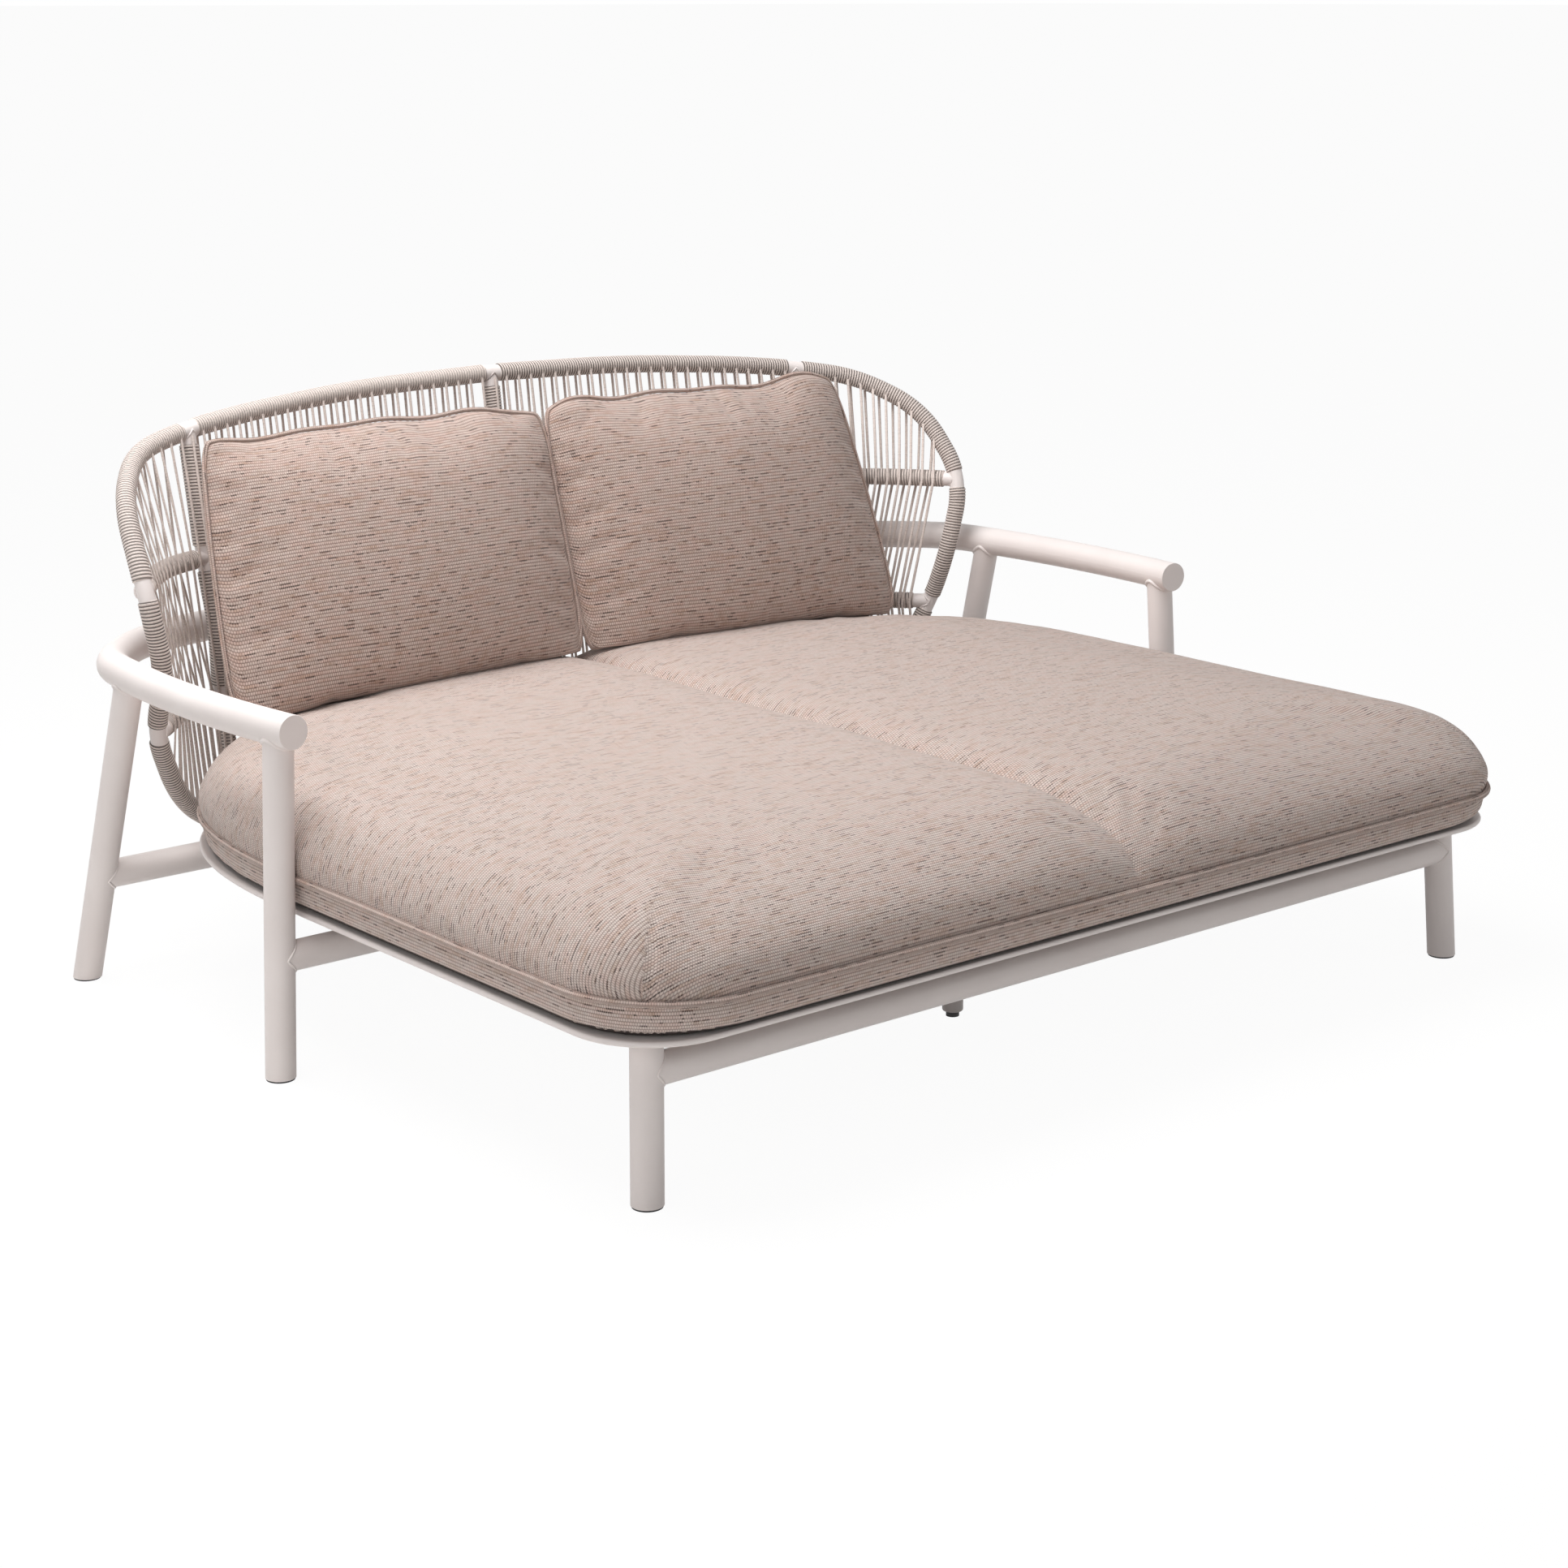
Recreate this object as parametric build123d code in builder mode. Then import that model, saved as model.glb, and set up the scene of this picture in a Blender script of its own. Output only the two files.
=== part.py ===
from build123d import *
import os
from math import hypot, radians, tan

# Outdoor daybed: a welded tube frame on seven legs, a wound cord backrest,
# one wide mattress and two loose back cushions.
# X runs across the daybed, Y from its front to its back, Z up from the ground.
# X and Y are zero in the middle of the footprint.

# Mattress, whose size the deck, the legs and the backrest follow
mattress_half_width = 957
mattress_front = -868.6
mattress_back = 697.4
mattress_top = 452
piping_height = 313
mattress_corner = 175
corner_shrink_share = 0.25
mattress_gap = 0.3
band_inset = 24
crown_steps = [(10, 0.35), (38, 0.62), (90, 0.83), (180, 0.94), (310, 0.985), (480, 1)]
crease_depth = 16
crease_reach = 70
crease_lift = 1
crease_shares = [(-1, 0), (-0.35, 0.5), (0, 1), (0.35, 0.5), (1, 0)]

# Deck, and the outline that it shares with the mattress
deck_underside = 249.6
rim_thickness = 8.6
rim_width = 30
rim_round = 4.2
deck_side_inset = 6.6
deck_front_inset = 22.2
deck_back_overhang = 14.5
deck_half_width = mattress_half_width - deck_side_inset
deck_front = mattress_front + deck_front_inset
deck_back = mattress_back + deck_back_overhang
deck_corner = 139
side_end_share = 0.57
side_pull_share = 0.39
back_pull_share = 0.7
beam_height = 191.5
bearer_width = 40
bearer_depth = 40
bearer_place_share = 0.589
slat_width = 60
slat_thickness = 5
slat_count = 13
last_slat_y = 637

# Tubes, outside diameters and walls
leg_tube = 48
leg_wall = 2.5
arm_tube = 54.4
arm_wall = 2.5
back_tube = 28.8
centre_tube = 34.6
weld_gap = 0.3
cut_overrun = 60

# Legs, by where their middle lines meet the ground and how they lean
front_foot_inset = 77.8
front_foot_x = deck_half_width - front_foot_inset
front_foot_y = deck_front + front_foot_inset
front_in_share = 0.055
front_back_share = 0.063
arm_foot_outset = 43.3
arm_foot_x = mattress_half_width + arm_foot_outset
arm_foot_y = -3.5
arm_in_share = 0.059
arm_back_share = 0.032
rear_foot_outset = 40.4
rear_foot_x = mattress_half_width + rear_foot_outset
rear_foot_y = 638.8
rear_in_share = 0.059
rear_back_share = -0.282
centre_foot_y = -453.6

# Glides
glide_height = 3
glide_margin = 1.5
glide_stem = 18
stem_gap = 0.2
glide_bolt = 8
centre_glide_width = 22
centre_glide_height = 9
centre_leg_round = 3
centre_foot_wall = 5

# Arm rail
arm_height = 549.6
arm_cap_outset = 7.8
arm_cap_x = mattress_half_width + arm_cap_outset
arm_cap_y = -25.6
arm_back_y = 841.5
arm_plan_shares = [(0.7463, 0.8928), (0.9044, 0.7969), (0.9587, 0.7332), (0.9961, 0.6393)]
arm_joint_share = 0.62
cap_thickness = 3
cap_round = 1

# Backrest loop, its ribs and rails
mid_rail_rise = 127.2
mid_rail_height = arm_height + mid_rail_rise
low_rail_drop = 124.3
low_rail_height = arm_height - low_rail_drop
loop_rise = 256.3
loop_top = mid_rail_height + loop_rise
loop_bottom = 196
loop_side_inset = 46.9
loop_side_x = mattress_half_width - loop_side_inset
loop_side_y = 521.6
loop_back_y = 840.4
loop_low_y_share = 0.771
loop_shares = [
    (0.331, 0.977, 0.993),
    (0.599, 0.864, 0.970),
    (0.754, 0.773, 0.949),
    (0.894, 0.614, 0.918),
    (0.984, 0.277, 0.833),
    (1.0065, -0.036, 0.657),
    (0.9715, -0.012, 0.458),
    (0.971, 0.137, 0.310),
    (0.899, 0.286, 0.1205),
    (0.738, 0.569, -0.010),
    (0.440, 0.714, -0.002),
]
bend_share = 0.45
loop_side_share = 0.6
loop_low_share = 0.75
mid_rail_y = 805.8
mid_rail_shares = [(0.753, 0.720), (0.887, 0.476)]
low_rail_y = 805.8
low_rail_shares = [(0.734, 0.720), (0.911, 0.345)]
rib_place_share = 0.7531
stay_bar = 16
wrap_thickness = 2.6
bare_joint = 1.5
bare_on_crossing = 4.5
loop_clearance = 2.5
low_rail_clearance = 9
rib_arm_gap = 4

# Cord
cord_width = 5.4
cord_thickness = 3
bay_strands = 24
rear_shift_share = 0.33
front_end_room = 34
rear_end_room = 60
cord_gap = 0.7
rear_slack = 1.6
path_samples = 160
halvings = 40

# Back cushions
cushion_gap = 2
cushion_top_drop = 40.1
cushion_top = loop_top - cushion_top_drop
cushion_sink = 11.4
cushion_low = mattress_top - cushion_sink
cushion_side_rise = 22
cushion_low_side = mattress_top + cushion_side_rise
cushion_seat_y = 547.6
cushion_side_y = 522.6
cushion_top_y = 678
cushion_low_inset = 154.6
cushion_low_x = loop_side_x - cushion_low_inset
cushion_top_inset = 201.6
cushion_top_x = loop_side_x - cushion_top_inset
cushion_front_swell = 100
cushion_back_swell = 141.2
cushion_edge = 5
swell_shares = [(0, 0), (0.05, 0.34), (0.2, 0.8), (0.5, 1), (0.8, 0.8), (0.95, 0.34), (1, 0)]

os.makedirs("parts", exist_ok=True)

leg_radius = leg_tube / 2
arm_radius = arm_tube / 2
back_radius = back_tube / 2
wrap_radius = back_radius + wrap_thickness
deck_top = deck_underside + rim_thickness
bearer_bottom = deck_underside - bearer_depth
arm_end_y = arm_cap_y + cap_thickness
rib_place = loop_side_x * rib_place_share


def save(part, name):
    part.label = name
    export_step(part, "parts/" + name + ".step")


def at_height(foot, lean, height):
    return Vector(foot[0] + lean[0] * height, foot[1] + lean[1] * height, height)


front_foot = (front_foot_x, front_foot_y)
front_lean = (-front_in_share, front_back_share)
arm_foot = (arm_foot_x, arm_foot_y)
arm_lean = (-arm_in_share, arm_back_share)
rear_foot = (rear_foot_x, rear_foot_y)
rear_lean = (-rear_in_share, rear_back_share)


# Paths of the bent tubes, right half from the middle outwards
def arm_path():
    depth = arm_back_y - arm_end_y
    start = Vector(0, arm_back_y, arm_height)
    heading = Vector(1, 0, 0)
    arcs = []
    for x_share, y_share in arm_plan_shares + [(1, 0)]:
        end = Vector(arm_cap_x * x_share, arm_end_y + depth * y_share, arm_height)
        arc = TangentArc(start, end, tangent=heading)
        arcs.append(arc)
        start = arc @ 1
        heading = arc % 1
    return Wire(arcs)


def bend_radii(points):
    radii = []
    for before, corner, after in zip(points, points[1:], points[2:]):
        run_in = corner - before
        run_out = after - corner
        shorter = min(run_in.length, run_out.length)
        radii.append(bend_share * shorter / tan(radians(run_in.get_angle(run_out)) / 2))
    return radii


def bent_path(points):
    return FilletPolyline(*points, radius=bend_radii(points)).wire()


def loop_path():
    depth = loop_back_y - loop_side_y
    height = loop_top - loop_bottom
    shares = [(0, 1, 1)] + loop_shares + [(0, loop_low_y_share, 0)]
    points = []
    for x_share, y_share, z_share in shares:
        y = loop_side_y + depth * y_share
        points.append(Vector(loop_side_x * x_share, y, loop_bottom + height * z_share))
    return bent_path(points)


def share_where(path, low, high, passed):
    """Halves a stretch of a path down to the share of its length where a test turns true."""
    for _ in range(halvings):
        middle = (low + high) / 2
        if passed(path @ middle):
            high = middle
        else:
            low = middle
    return (low + high) / 2


def rail_path(height, middle_y, shares, loop_share):
    end = loop_half @ loop_share
    start = Vector(0, middle_y, height)
    heading = Vector(1, 0, 0)
    arcs = []
    for x_share, y_share in shares + [(1, 0)]:
        point = Vector(end.X * x_share, end.Y + (middle_y - end.Y) * y_share, height)
        arc = TangentArc(start, point, tangent=heading)
        arcs.append(arc)
        start = arc @ 1
        heading = arc % 1
    return Wire(arcs)


arm_half = arm_path()
loop_half = loop_path()
mid_share = share_where(loop_half, 0, loop_side_share, lambda p: p.Z < mid_rail_height)
low_share = share_where(loop_half, 0, loop_low_share, lambda p: p.Z < low_rail_height)
mid_half = rail_path(mid_rail_height, mid_rail_y, mid_rail_shares, mid_share)
low_half = rail_path(low_rail_height, low_rail_y, low_rail_shares, low_share)
low_rib_place = rib_place * (low_half @ 1).X / (mid_half @ 1).X
top_rib_share = share_where(loop_half, 0, mid_share, lambda p: p.X > rib_place)
low_rib_share = share_where(loop_half, 1, low_share, lambda p: p.X > low_rib_place)
mid_rib_share = share_where(mid_half, 0, 1, lambda p: p.X > rib_place)
low_rail_rib_share = share_where(low_half, 0, 1, lambda p: p.X > low_rib_place)


def rib_path(top_share, mid, low, low_loop_share):
    """Middle line of a rib: the loop, the middle rail, the arm rail's front, the low rail, the loop."""
    upper = mid_half @ mid
    lower = low_half @ low
    place = lower.X + (upper.X - lower.X) * (arm_height - lower.Z) / (upper.Z - lower.Z)
    arm_share = share_where(arm_half, 0, 1, lambda p: p.X > place)
    behind = arm_half @ arm_share
    heading = arm_half % arm_share
    arm_y = behind.Y - (arm_radius + wrap_radius + rib_arm_gap) / heading.X
    before_arm = Vector(place, arm_y, arm_height)
    return bent_path([loop_half @ top_share, upper, before_arm, lower, loop_half @ low_loop_share])


side_rib_line = rib_path(top_rib_share, mid_rib_share, low_rail_rib_share, low_rib_share)
centre_rib_line = rib_path(0, 0, 0, 1)


# Plain rods and cutters along the paths
def rod(path, radius):
    section = Plane(origin=path @ 0, z_dir=path % 0) * Circle(radius)
    return sweep(section, path=path)


def both_sides(shape):
    return shape + mirror(shape, about=Plane.YZ)


def leg_core(foot, lean, radius):
    start = at_height(foot, lean, -cut_overrun)
    along = Vector(lean[0], lean[1], 1)
    section = Plane(origin=start, z_dir=along) * Circle(radius)
    return extrude(section, amount=arm_height + cut_overrun + cut_overrun)


arm_core = both_sides(rod(arm_half, arm_radius + weld_gap))
loop_core = both_sides(rod(loop_half, back_radius + weld_gap))
side_rib_core = rod(side_rib_line, back_radius + weld_gap)
rib_cores = [side_rib_core, mirror(side_rib_core, about=Plane.YZ)]
rib_cores.append(rod(centre_rib_line, back_radius + weld_gap))


# Legs
def leg(foot, lean, top, cutter=None):
    with BuildPart() as made:
        start = at_height(foot, lean, -cut_overrun)
        with BuildSketch(Plane(origin=start, z_dir=Vector(lean[0], lean[1], 1))):
            Circle(leg_radius)
            Circle(leg_radius - leg_wall, mode=Mode.SUBTRACT)
        extrude(amount=top + cut_overrun + cut_overrun)
        split(bisect_by=Plane.XY.offset(glide_height), keep=Keep.TOP)
        split(bisect_by=Plane.XY.offset(top), keep=Keep.BOTTOM)
        if cutter:
            add(cutter, mode=Mode.SUBTRACT)
    return made.part


def save_pair(part, name):
    save(part, name + "_right")
    save(mirror(part, about=Plane.YZ), name + "_left")


save_pair(leg(front_foot, front_lean, deck_underside), "front_leg")
save_pair(leg(arm_foot, arm_lean, arm_height, arm_core), "arm_leg")
save_pair(leg(rear_foot, rear_lean, arm_height, arm_core), "rear_leg")

with BuildPart() as centre_leg:
    with BuildSketch(Plane((0, centre_foot_y, centre_glide_height))):
        Circle(centre_tube / 2)
    extrude(amount=bearer_bottom - centre_glide_height)
    fillet(centre_leg.edges().group_by(Axis.Z)[0], radius=centre_leg_round)
    with BuildSketch(Plane((0, centre_foot_y, centre_glide_height + centre_foot_wall))):
        Circle(centre_tube / 2 - leg_wall)
    extrude(amount=bearer_bottom, mode=Mode.SUBTRACT)
    with BuildSketch(Plane((0, centre_foot_y, centre_glide_height))):
        Circle(glide_bolt / 2 + stem_gap)
    extrude(amount=cut_overrun, mode=Mode.SUBTRACT)
save(centre_leg.part, "centre_leg")

feet = [(front_foot, front_lean), (arm_foot, arm_lean), (rear_foot, rear_lean)]

# Glides: a disc under each leg with a stem in its bore, and a stepped one on a bolt under the centre leg
with BuildPart() as foot_glides:
    for foot, lean in feet:
        start = at_height(foot, lean, -cut_overrun)
        with BuildSketch(Plane(origin=start, z_dir=Vector(lean[0], lean[1], 1))):
            Circle(leg_radius - leg_wall - stem_gap)
        extrude(amount=cut_overrun + glide_height + glide_stem)
    split(bisect_by=Plane.XY.offset(glide_height), keep=Keep.TOP)
    for foot, lean in feet:
        with BuildSketch(Plane((foot[0], foot[1], 0))):
            Circle(leg_radius - glide_margin)
        extrude(amount=glide_height)
    mirror(about=Plane.YZ)
save(foot_glides.part, "foot_glides")

with BuildPart() as centre_glide:
    with BuildSketch(Plane((0, centre_foot_y, 0))):
        Circle(centre_glide_width / 2)
    extrude(amount=centre_glide_height)
    with BuildSketch(Plane((0, centre_foot_y, centre_glide_height))):
        Circle(glide_bolt / 2)
    extrude(amount=glide_stem)
save(centre_glide.part, "centre_glide")


# Beams, each ending on the skins of its two legs
def beam(foot, lean):
    end = at_height(foot, lean, beam_height)
    core = leg_core(foot, lean, leg_radius + weld_gap)
    with BuildPart() as made:
        with BuildSketch(Plane(origin=(-end.X, end.Y, end.Z), z_dir=(1, 0, 0))):
            Circle(leg_radius)
            Circle(leg_radius - leg_wall, mode=Mode.SUBTRACT)
        extrude(amount=2 * end.X)
        add(both_sides(core), mode=Mode.SUBTRACT)
    return made.part


save(beam(front_foot, front_lean), "front_beam")
save(beam(arm_foot, arm_lean), "middle_beam")
save(beam(rear_foot, rear_lean), "rear_beam")


# Deck
def half_outline(half_width, front, back, corner):
    """Right half of the outline in plan, rounded at the front corner and drawn in behind."""
    depth = back - front
    side_end = (half_width, front + depth * side_end_share)
    side_pull = (half_width, front + depth * (side_end_share + side_pull_share))
    back_pull = (half_width * back_pull_share, back)
    Line((0, front), (half_width - corner, front))
    TangentArc((half_width - corner, front), (half_width, front + corner), tangent=(1, 0))
    Line((half_width, front + corner), side_end)
    Bezier(side_end, side_pull, back_pull, (0, back))


def level(half_width, front, back, corner, height):
    """The whole outline as a face at one height."""
    with BuildSketch(Plane.XY.offset(height)) as made:
        with BuildLine():
            half_outline(half_width, front, back, corner)
            mirror(about=Plane.YZ)
        make_face()
    return made.sketch


def deck_level(inset):
    half_width = deck_half_width - inset
    return level(half_width, deck_front + inset, deck_back - inset, deck_corner - inset, deck_underside)


with BuildPart() as deck_rim:
    extrude(deck_level(0), amount=rim_thickness)
    extrude(deck_level(rim_width), amount=rim_thickness, mode=Mode.SUBTRACT)
    outer = deck_rim.faces().sort_by(Axis.Z)[-1].outer_wire().edges()
    outer += deck_rim.faces().sort_by(Axis.Z)[0].outer_wire().edges()
    fillet(outer, radius=rim_round)
save(deck_rim.part, "deck_rim")

first_slat_y = at_height(front_foot, front_lean, deck_underside).Y
slat_pitch = (last_slat_y - first_slat_y) / (slat_count - 1)
with BuildPart() as deck_slats:
    extrude(deck_level(rim_width + weld_gap), amount=slat_thickness)
    with BuildSketch(Plane.XY.offset(deck_underside)):
        for i in range(slat_count):
            with Locations((0, first_slat_y + i * slat_pitch)):
                Rectangle(2 * deck_half_width, slat_width)
    extrude(amount=slat_thickness, mode=Mode.INTERSECT)
save(deck_slats.part, "deck_slats")

beam_cutters = []
for foot, lean in feet:
    end = at_height(foot, lean, beam_height)
    section = Plane(origin=(-end.X, end.Y, end.Z), z_dir=(1, 0, 0)) * Circle(leg_radius + weld_gap)
    beam_cutters.append(extrude(section, amount=2 * end.X))


def bearer(place):
    """A bearer from the front beam's middle line to the last slat's far edge, set down over the beams."""
    start = at_height(front_foot, front_lean, beam_height).Y
    end = last_slat_y + slat_width / 2
    length = end - start
    middle = (start + end) / 2
    with BuildPart() as made:
        with BuildSketch(Plane.XY.offset(bearer_bottom)):
            with Locations((place, middle)):
                Rectangle(bearer_width, length)
        extrude(amount=bearer_depth)
        for cutter in beam_cutters:
            add(cutter, mode=Mode.SUBTRACT)
    return made.part


save(bearer(0), "bearer_centre")
save_pair(bearer(deck_half_width * bearer_place_share), "bearer")


# Arm rail, a bend round the back and two sides, and its caps
def arm_tube_along(path):
    with BuildPart() as made:
        with BuildSketch(Plane(origin=path @ 0, z_dir=path % 0)):
            Circle(arm_radius)
            Circle(arm_radius - arm_wall, mode=Mode.SUBTRACT)
        sweep(path=path)
    return made.part


arm_joint_y = arm_end_y + (arm_back_y - arm_end_y) * arm_joint_share
arm_joint = share_where(arm_half, 0, 1, lambda p: p.Y < arm_joint_y)
save(both_sides(arm_tube_along(arm_half.trim(0, arm_joint))), "arm_rail")
save_pair(arm_tube_along(arm_half.trim(arm_joint, 1)), "arm_rail_side")

with BuildPart() as arm_cap:
    with BuildSketch(Plane(origin=arm_half @ 1, z_dir=arm_half % 1)):
        Circle(arm_radius)
    extrude(amount=cap_thickness)
    fillet(arm_cap.edges().sort_by(Axis.Y)[0], radius=cap_round)
save_pair(arm_cap.part, "arm_cap")


# Backrest tubes
def bar(path, radius, cutters, mirrored):
    """A rod along a path with its neighbours' skins cut away, doubled across the middle or not."""
    with BuildPart() as made:
        with BuildSketch(Plane(origin=path @ 0, z_dir=path % 0)):
            Circle(radius)
        sweep(path=path)
        if mirrored:
            mirror(about=Plane.YZ)
        for cutter in cutters:
            add(cutter, mode=Mode.SUBTRACT)
    return made.part


save(bar(loop_half.trim(0, top_rib_share), back_radius, [], True), "loop_top")
save_pair(bar(loop_half.trim(top_rib_share, low_share), back_radius, [], False), "loop_side")
save(bar(loop_half.trim(low_share, 1), back_radius, [], True), "loop_bottom")
save_pair(bar(side_rib_line, back_radius, [loop_core], False), "rib")
save(bar(centre_rib_line, back_radius, [loop_core], False), "rib_centre")
save(bar(mid_half, back_radius, rib_cores + [loop_core], True), "mid_rail")
save(bar(low_half, back_radius, rib_cores + [loop_core], True), "low_rail")


# Short bars that hold the three ribs on the arm rail's front
def stay(path, arm_share):
    rib_share = share_where(path, 0, 1, lambda p: p.Z < arm_height)
    start = path @ rib_share
    end = arm_half @ arm_share
    section = Plane(origin=start, z_dir=end - start) * Circle(stay_bar / 2)
    return extrude(section, amount=(end - start).length)


side_stay_place = (side_rib_line @ share_where(side_rib_line, 0, 1, lambda p: p.Z < arm_height)).X
side_stay = stay(side_rib_line, share_where(arm_half, 0, 1, lambda p: p.X > side_stay_place))
centre_stay = stay(centre_rib_line, 0)
stays = [side_stay, mirror(side_stay, about=Plane.YZ), centre_stay]
with BuildPart() as rib_stays:
    for bar_solid in stays:
        add(bar_solid)
    for cutter in rib_cores + [arm_core]:
        add(cutter, mode=Mode.SUBTRACT)
save(rib_stays.part, "rib_stays")


rail_rods = rib_cores + [both_sides(rod(rail, back_radius + weld_gap)) for rail in (mid_half, low_half)]
bare_on_loop = back_radius + bare_joint
bare_on_rail = wrap_radius + bare_on_crossing


# Wound cord on the tubes, as sleeves between the bare joints
def sleeves(path, joints, bare, cutters, mirrored):
    """Sleeves on a path between joints, given as shares of its length, with bare tube at each end."""
    bare_share = bare / path.length
    with BuildPart() as made:
        for start, end in zip(joints, joints[1:]):
            stretch = path.trim(start + bare_share, end - bare_share)
            with BuildSketch(Plane(origin=stretch @ 0, z_dir=stretch % 0)):
                Circle(wrap_radius)
                Circle(back_radius + weld_gap, mode=Mode.SUBTRACT)
            sweep(path=stretch)
        if mirrored:
            mirror(about=Plane.YZ)
        for cutter in cutters:
            add(cutter, mode=Mode.SUBTRACT)
    return made.part


save(sleeves(loop_half, [0, top_rib_share], bare_on_loop, [], True), "wrap_loop_top")
side_joints = [top_rib_share, mid_share, low_share]
save_pair(sleeves(loop_half, side_joints, bare_on_loop, rail_rods, False), "wrap_loop_side")
save(sleeves(loop_half, [low_share, low_rib_share, 1], bare_on_loop, rail_rods, True), "wrap_loop_bottom")


def rib_joints(path):
    start = loop_clearance / path.length
    mid = share_where(path, 0, 1, lambda p: p.Z < mid_rail_height)
    low = share_where(path, 0, 1, lambda p: p.Z < low_rail_height)
    return [start, mid, low, 1 - start]


side_joints = rib_joints(side_rib_line)
save_pair(sleeves(side_rib_line, side_joints, bare_on_rail, [side_stay], False), "wrap_rib")
centre_joints = rib_joints(centre_rib_line)
save(sleeves(centre_rib_line, centre_joints, bare_on_rail, [centre_stay], False), "wrap_rib_centre")
mid_joints = [0, mid_rib_share, 1 - loop_clearance / mid_half.length]
save(sleeves(mid_half, mid_joints, bare_on_rail, rib_cores, True), "wrap_mid_rail")
low_joints = [0, low_rail_rib_share, 1 - low_rail_clearance / low_half.length]
save(sleeves(low_half, low_joints, bare_on_rail, rib_cores, True), "wrap_low_rail")


# Upright cord strands, in front of the rails and behind the upper bay
def plan_table(path, start, end):
    """Points of a path with their distance along it in plan and its plan heading."""
    table = []
    distance = 0
    before = path @ start
    for i in range(path_samples + 1):
        share = start + (end - start) * i / path_samples
        point = path @ share
        distance += hypot(point.X - before.X, point.Y - before.Y)
        heading = (path % share) * (1 if end > start else -1)
        table.append((distance, point, Vector(heading.X, heading.Y, 0).normalized()))
        before = point
    return table


def rib_distance(table, place):
    return next(row[0] for row in table if row[1].X >= place)


top_table = plan_table(loop_half, 0, mid_share)
mid_table = plan_table(mid_half, 0, 1)
low_table = plan_table(low_half, 0, 1)
bottom_table = plan_table(loop_half, 1, low_share)
rails = [
    (top_table, rib_distance(top_table, rib_place)),
    (mid_table, rib_distance(mid_table, rib_place)),
    (low_table, rib_distance(low_table, low_rib_place)),
    (bottom_table, rib_distance(bottom_table, low_rib_place)),
]
strand_offset = wrap_radius + cord_gap + cord_thickness / 2
top_length = top_table[-1][0]
top_rib = rails[0][1]
strand_pitch = top_rib / (bay_strands + 1)


def matched(rail, distance):
    """The place on a rail that faces a distance along the loop's top, bay by bay."""
    table, rib = rail
    if distance <= top_rib:
        place = distance * rib / top_rib
    else:
        place = rib + (distance - top_rib) * (table[-1][0] - rib) / (top_length - top_rib)
    for before, after in zip(table, table[1:]):
        if after[0] >= place:
            part = (place - before[0]) / (after[0] - before[0])
            return before[1] + (after[1] - before[1]) * part, before[2]
    return table[-1][1], table[-1][2]


def strand(distance, sides):
    """One strand over the loop's top, both rails and its bottom, in front or behind at each."""
    sections = []
    for rail, side in zip(rails, sides):
        point, heading = matched(rail, distance)
        front = Vector(heading.Y, -heading.X, 0)
        away = strand_offset if side > 0 else strand_offset + rear_slack
        plane = Plane(origin=point + front * (side * away), x_dir=heading, z_dir=(0, 0, 1))
        sections.append(plane * Rectangle(cord_width, cord_thickness))
    return loft(sections, ruled=True)


def layer(shift, end_room, sides, beyond_rib):
    """The strands of one layer on the right, up to the side rib or beyond it."""
    made = []
    rib_room = wrap_radius + cord_width
    for i in range(int(top_length / strand_pitch) + 1):
        distance = (i + shift) * strand_pitch
        near_rib = distance < rib_room or abs(distance - top_rib) < rib_room
        if near_rib or distance > top_length - end_room:
            continue
        if (distance > top_rib) == beyond_rib:
            made.append(strand(distance, sides))
    return Part(children=made)


front_sides = (1, 1, 1, 1)
rear_sides = (-1, -1, 1, 1)
for beyond_rib, ending in [(False, ""), (True, "_side")]:
    save_pair(layer(0, front_end_room, front_sides, beyond_rib), "strands_front" + ending)
    # The rear strands stand to the same side of a front one in both halves
    right = layer(rear_shift_share, rear_end_room, rear_sides, beyond_rib)
    left = layer(1 - rear_shift_share, rear_end_room, rear_sides, beyond_rib)
    save(right, "strands_rear" + ending + "_right")
    save(mirror(left, about=Plane.YZ), "strands_rear" + ending + "_left")


# Mattress
mattress_base = deck_top + mattress_gap
crown_rise = mattress_top - piping_height
crown = [(0, piping_height)] + [(inset, piping_height + crown_rise * share) for inset, share in crown_steps]


def crease_face(place, lift):
    """The space above the seam's line at one place across, to be cut away."""
    above = mattress_top + crease_depth + cut_overrun
    ahead = mattress_front - cut_overrun
    behind = mattress_back + cut_overrun
    points = [(ahead, above), (ahead, piping_height + crease_depth)]
    points += [(mattress_front + inset, height + lift) for inset, height in crown[1:]]
    points += [(behind, mattress_top + lift), (behind, above)]
    return Plane.YZ.offset(place) * make_face(Polyline(*points, close=True))


crease_faces = []
for x_share, depth_share in crease_shares:
    crease_faces.append(crease_face(crease_reach * x_share, crease_lift - crease_depth * depth_share))
crease = loft(crease_faces, ruled=True)

def mattress_level(inset, height):
    """A level cut of the mattress, drawn in by an inset all round."""
    corner = mattress_corner - inset * corner_shrink_share
    return level(mattress_half_width - inset, mattress_front + inset, mattress_back - inset, corner, height)


band = [(band_inset, mattress_base), (0, piping_height)]
with BuildPart() as mattress:
    loft([mattress_level(inset, height) for inset, height in band], ruled=True)
    loft([mattress_level(inset, height) for inset, height in crown])
    add(crease, mode=Mode.SUBTRACT)
save(mattress.part, "mattress")


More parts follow.
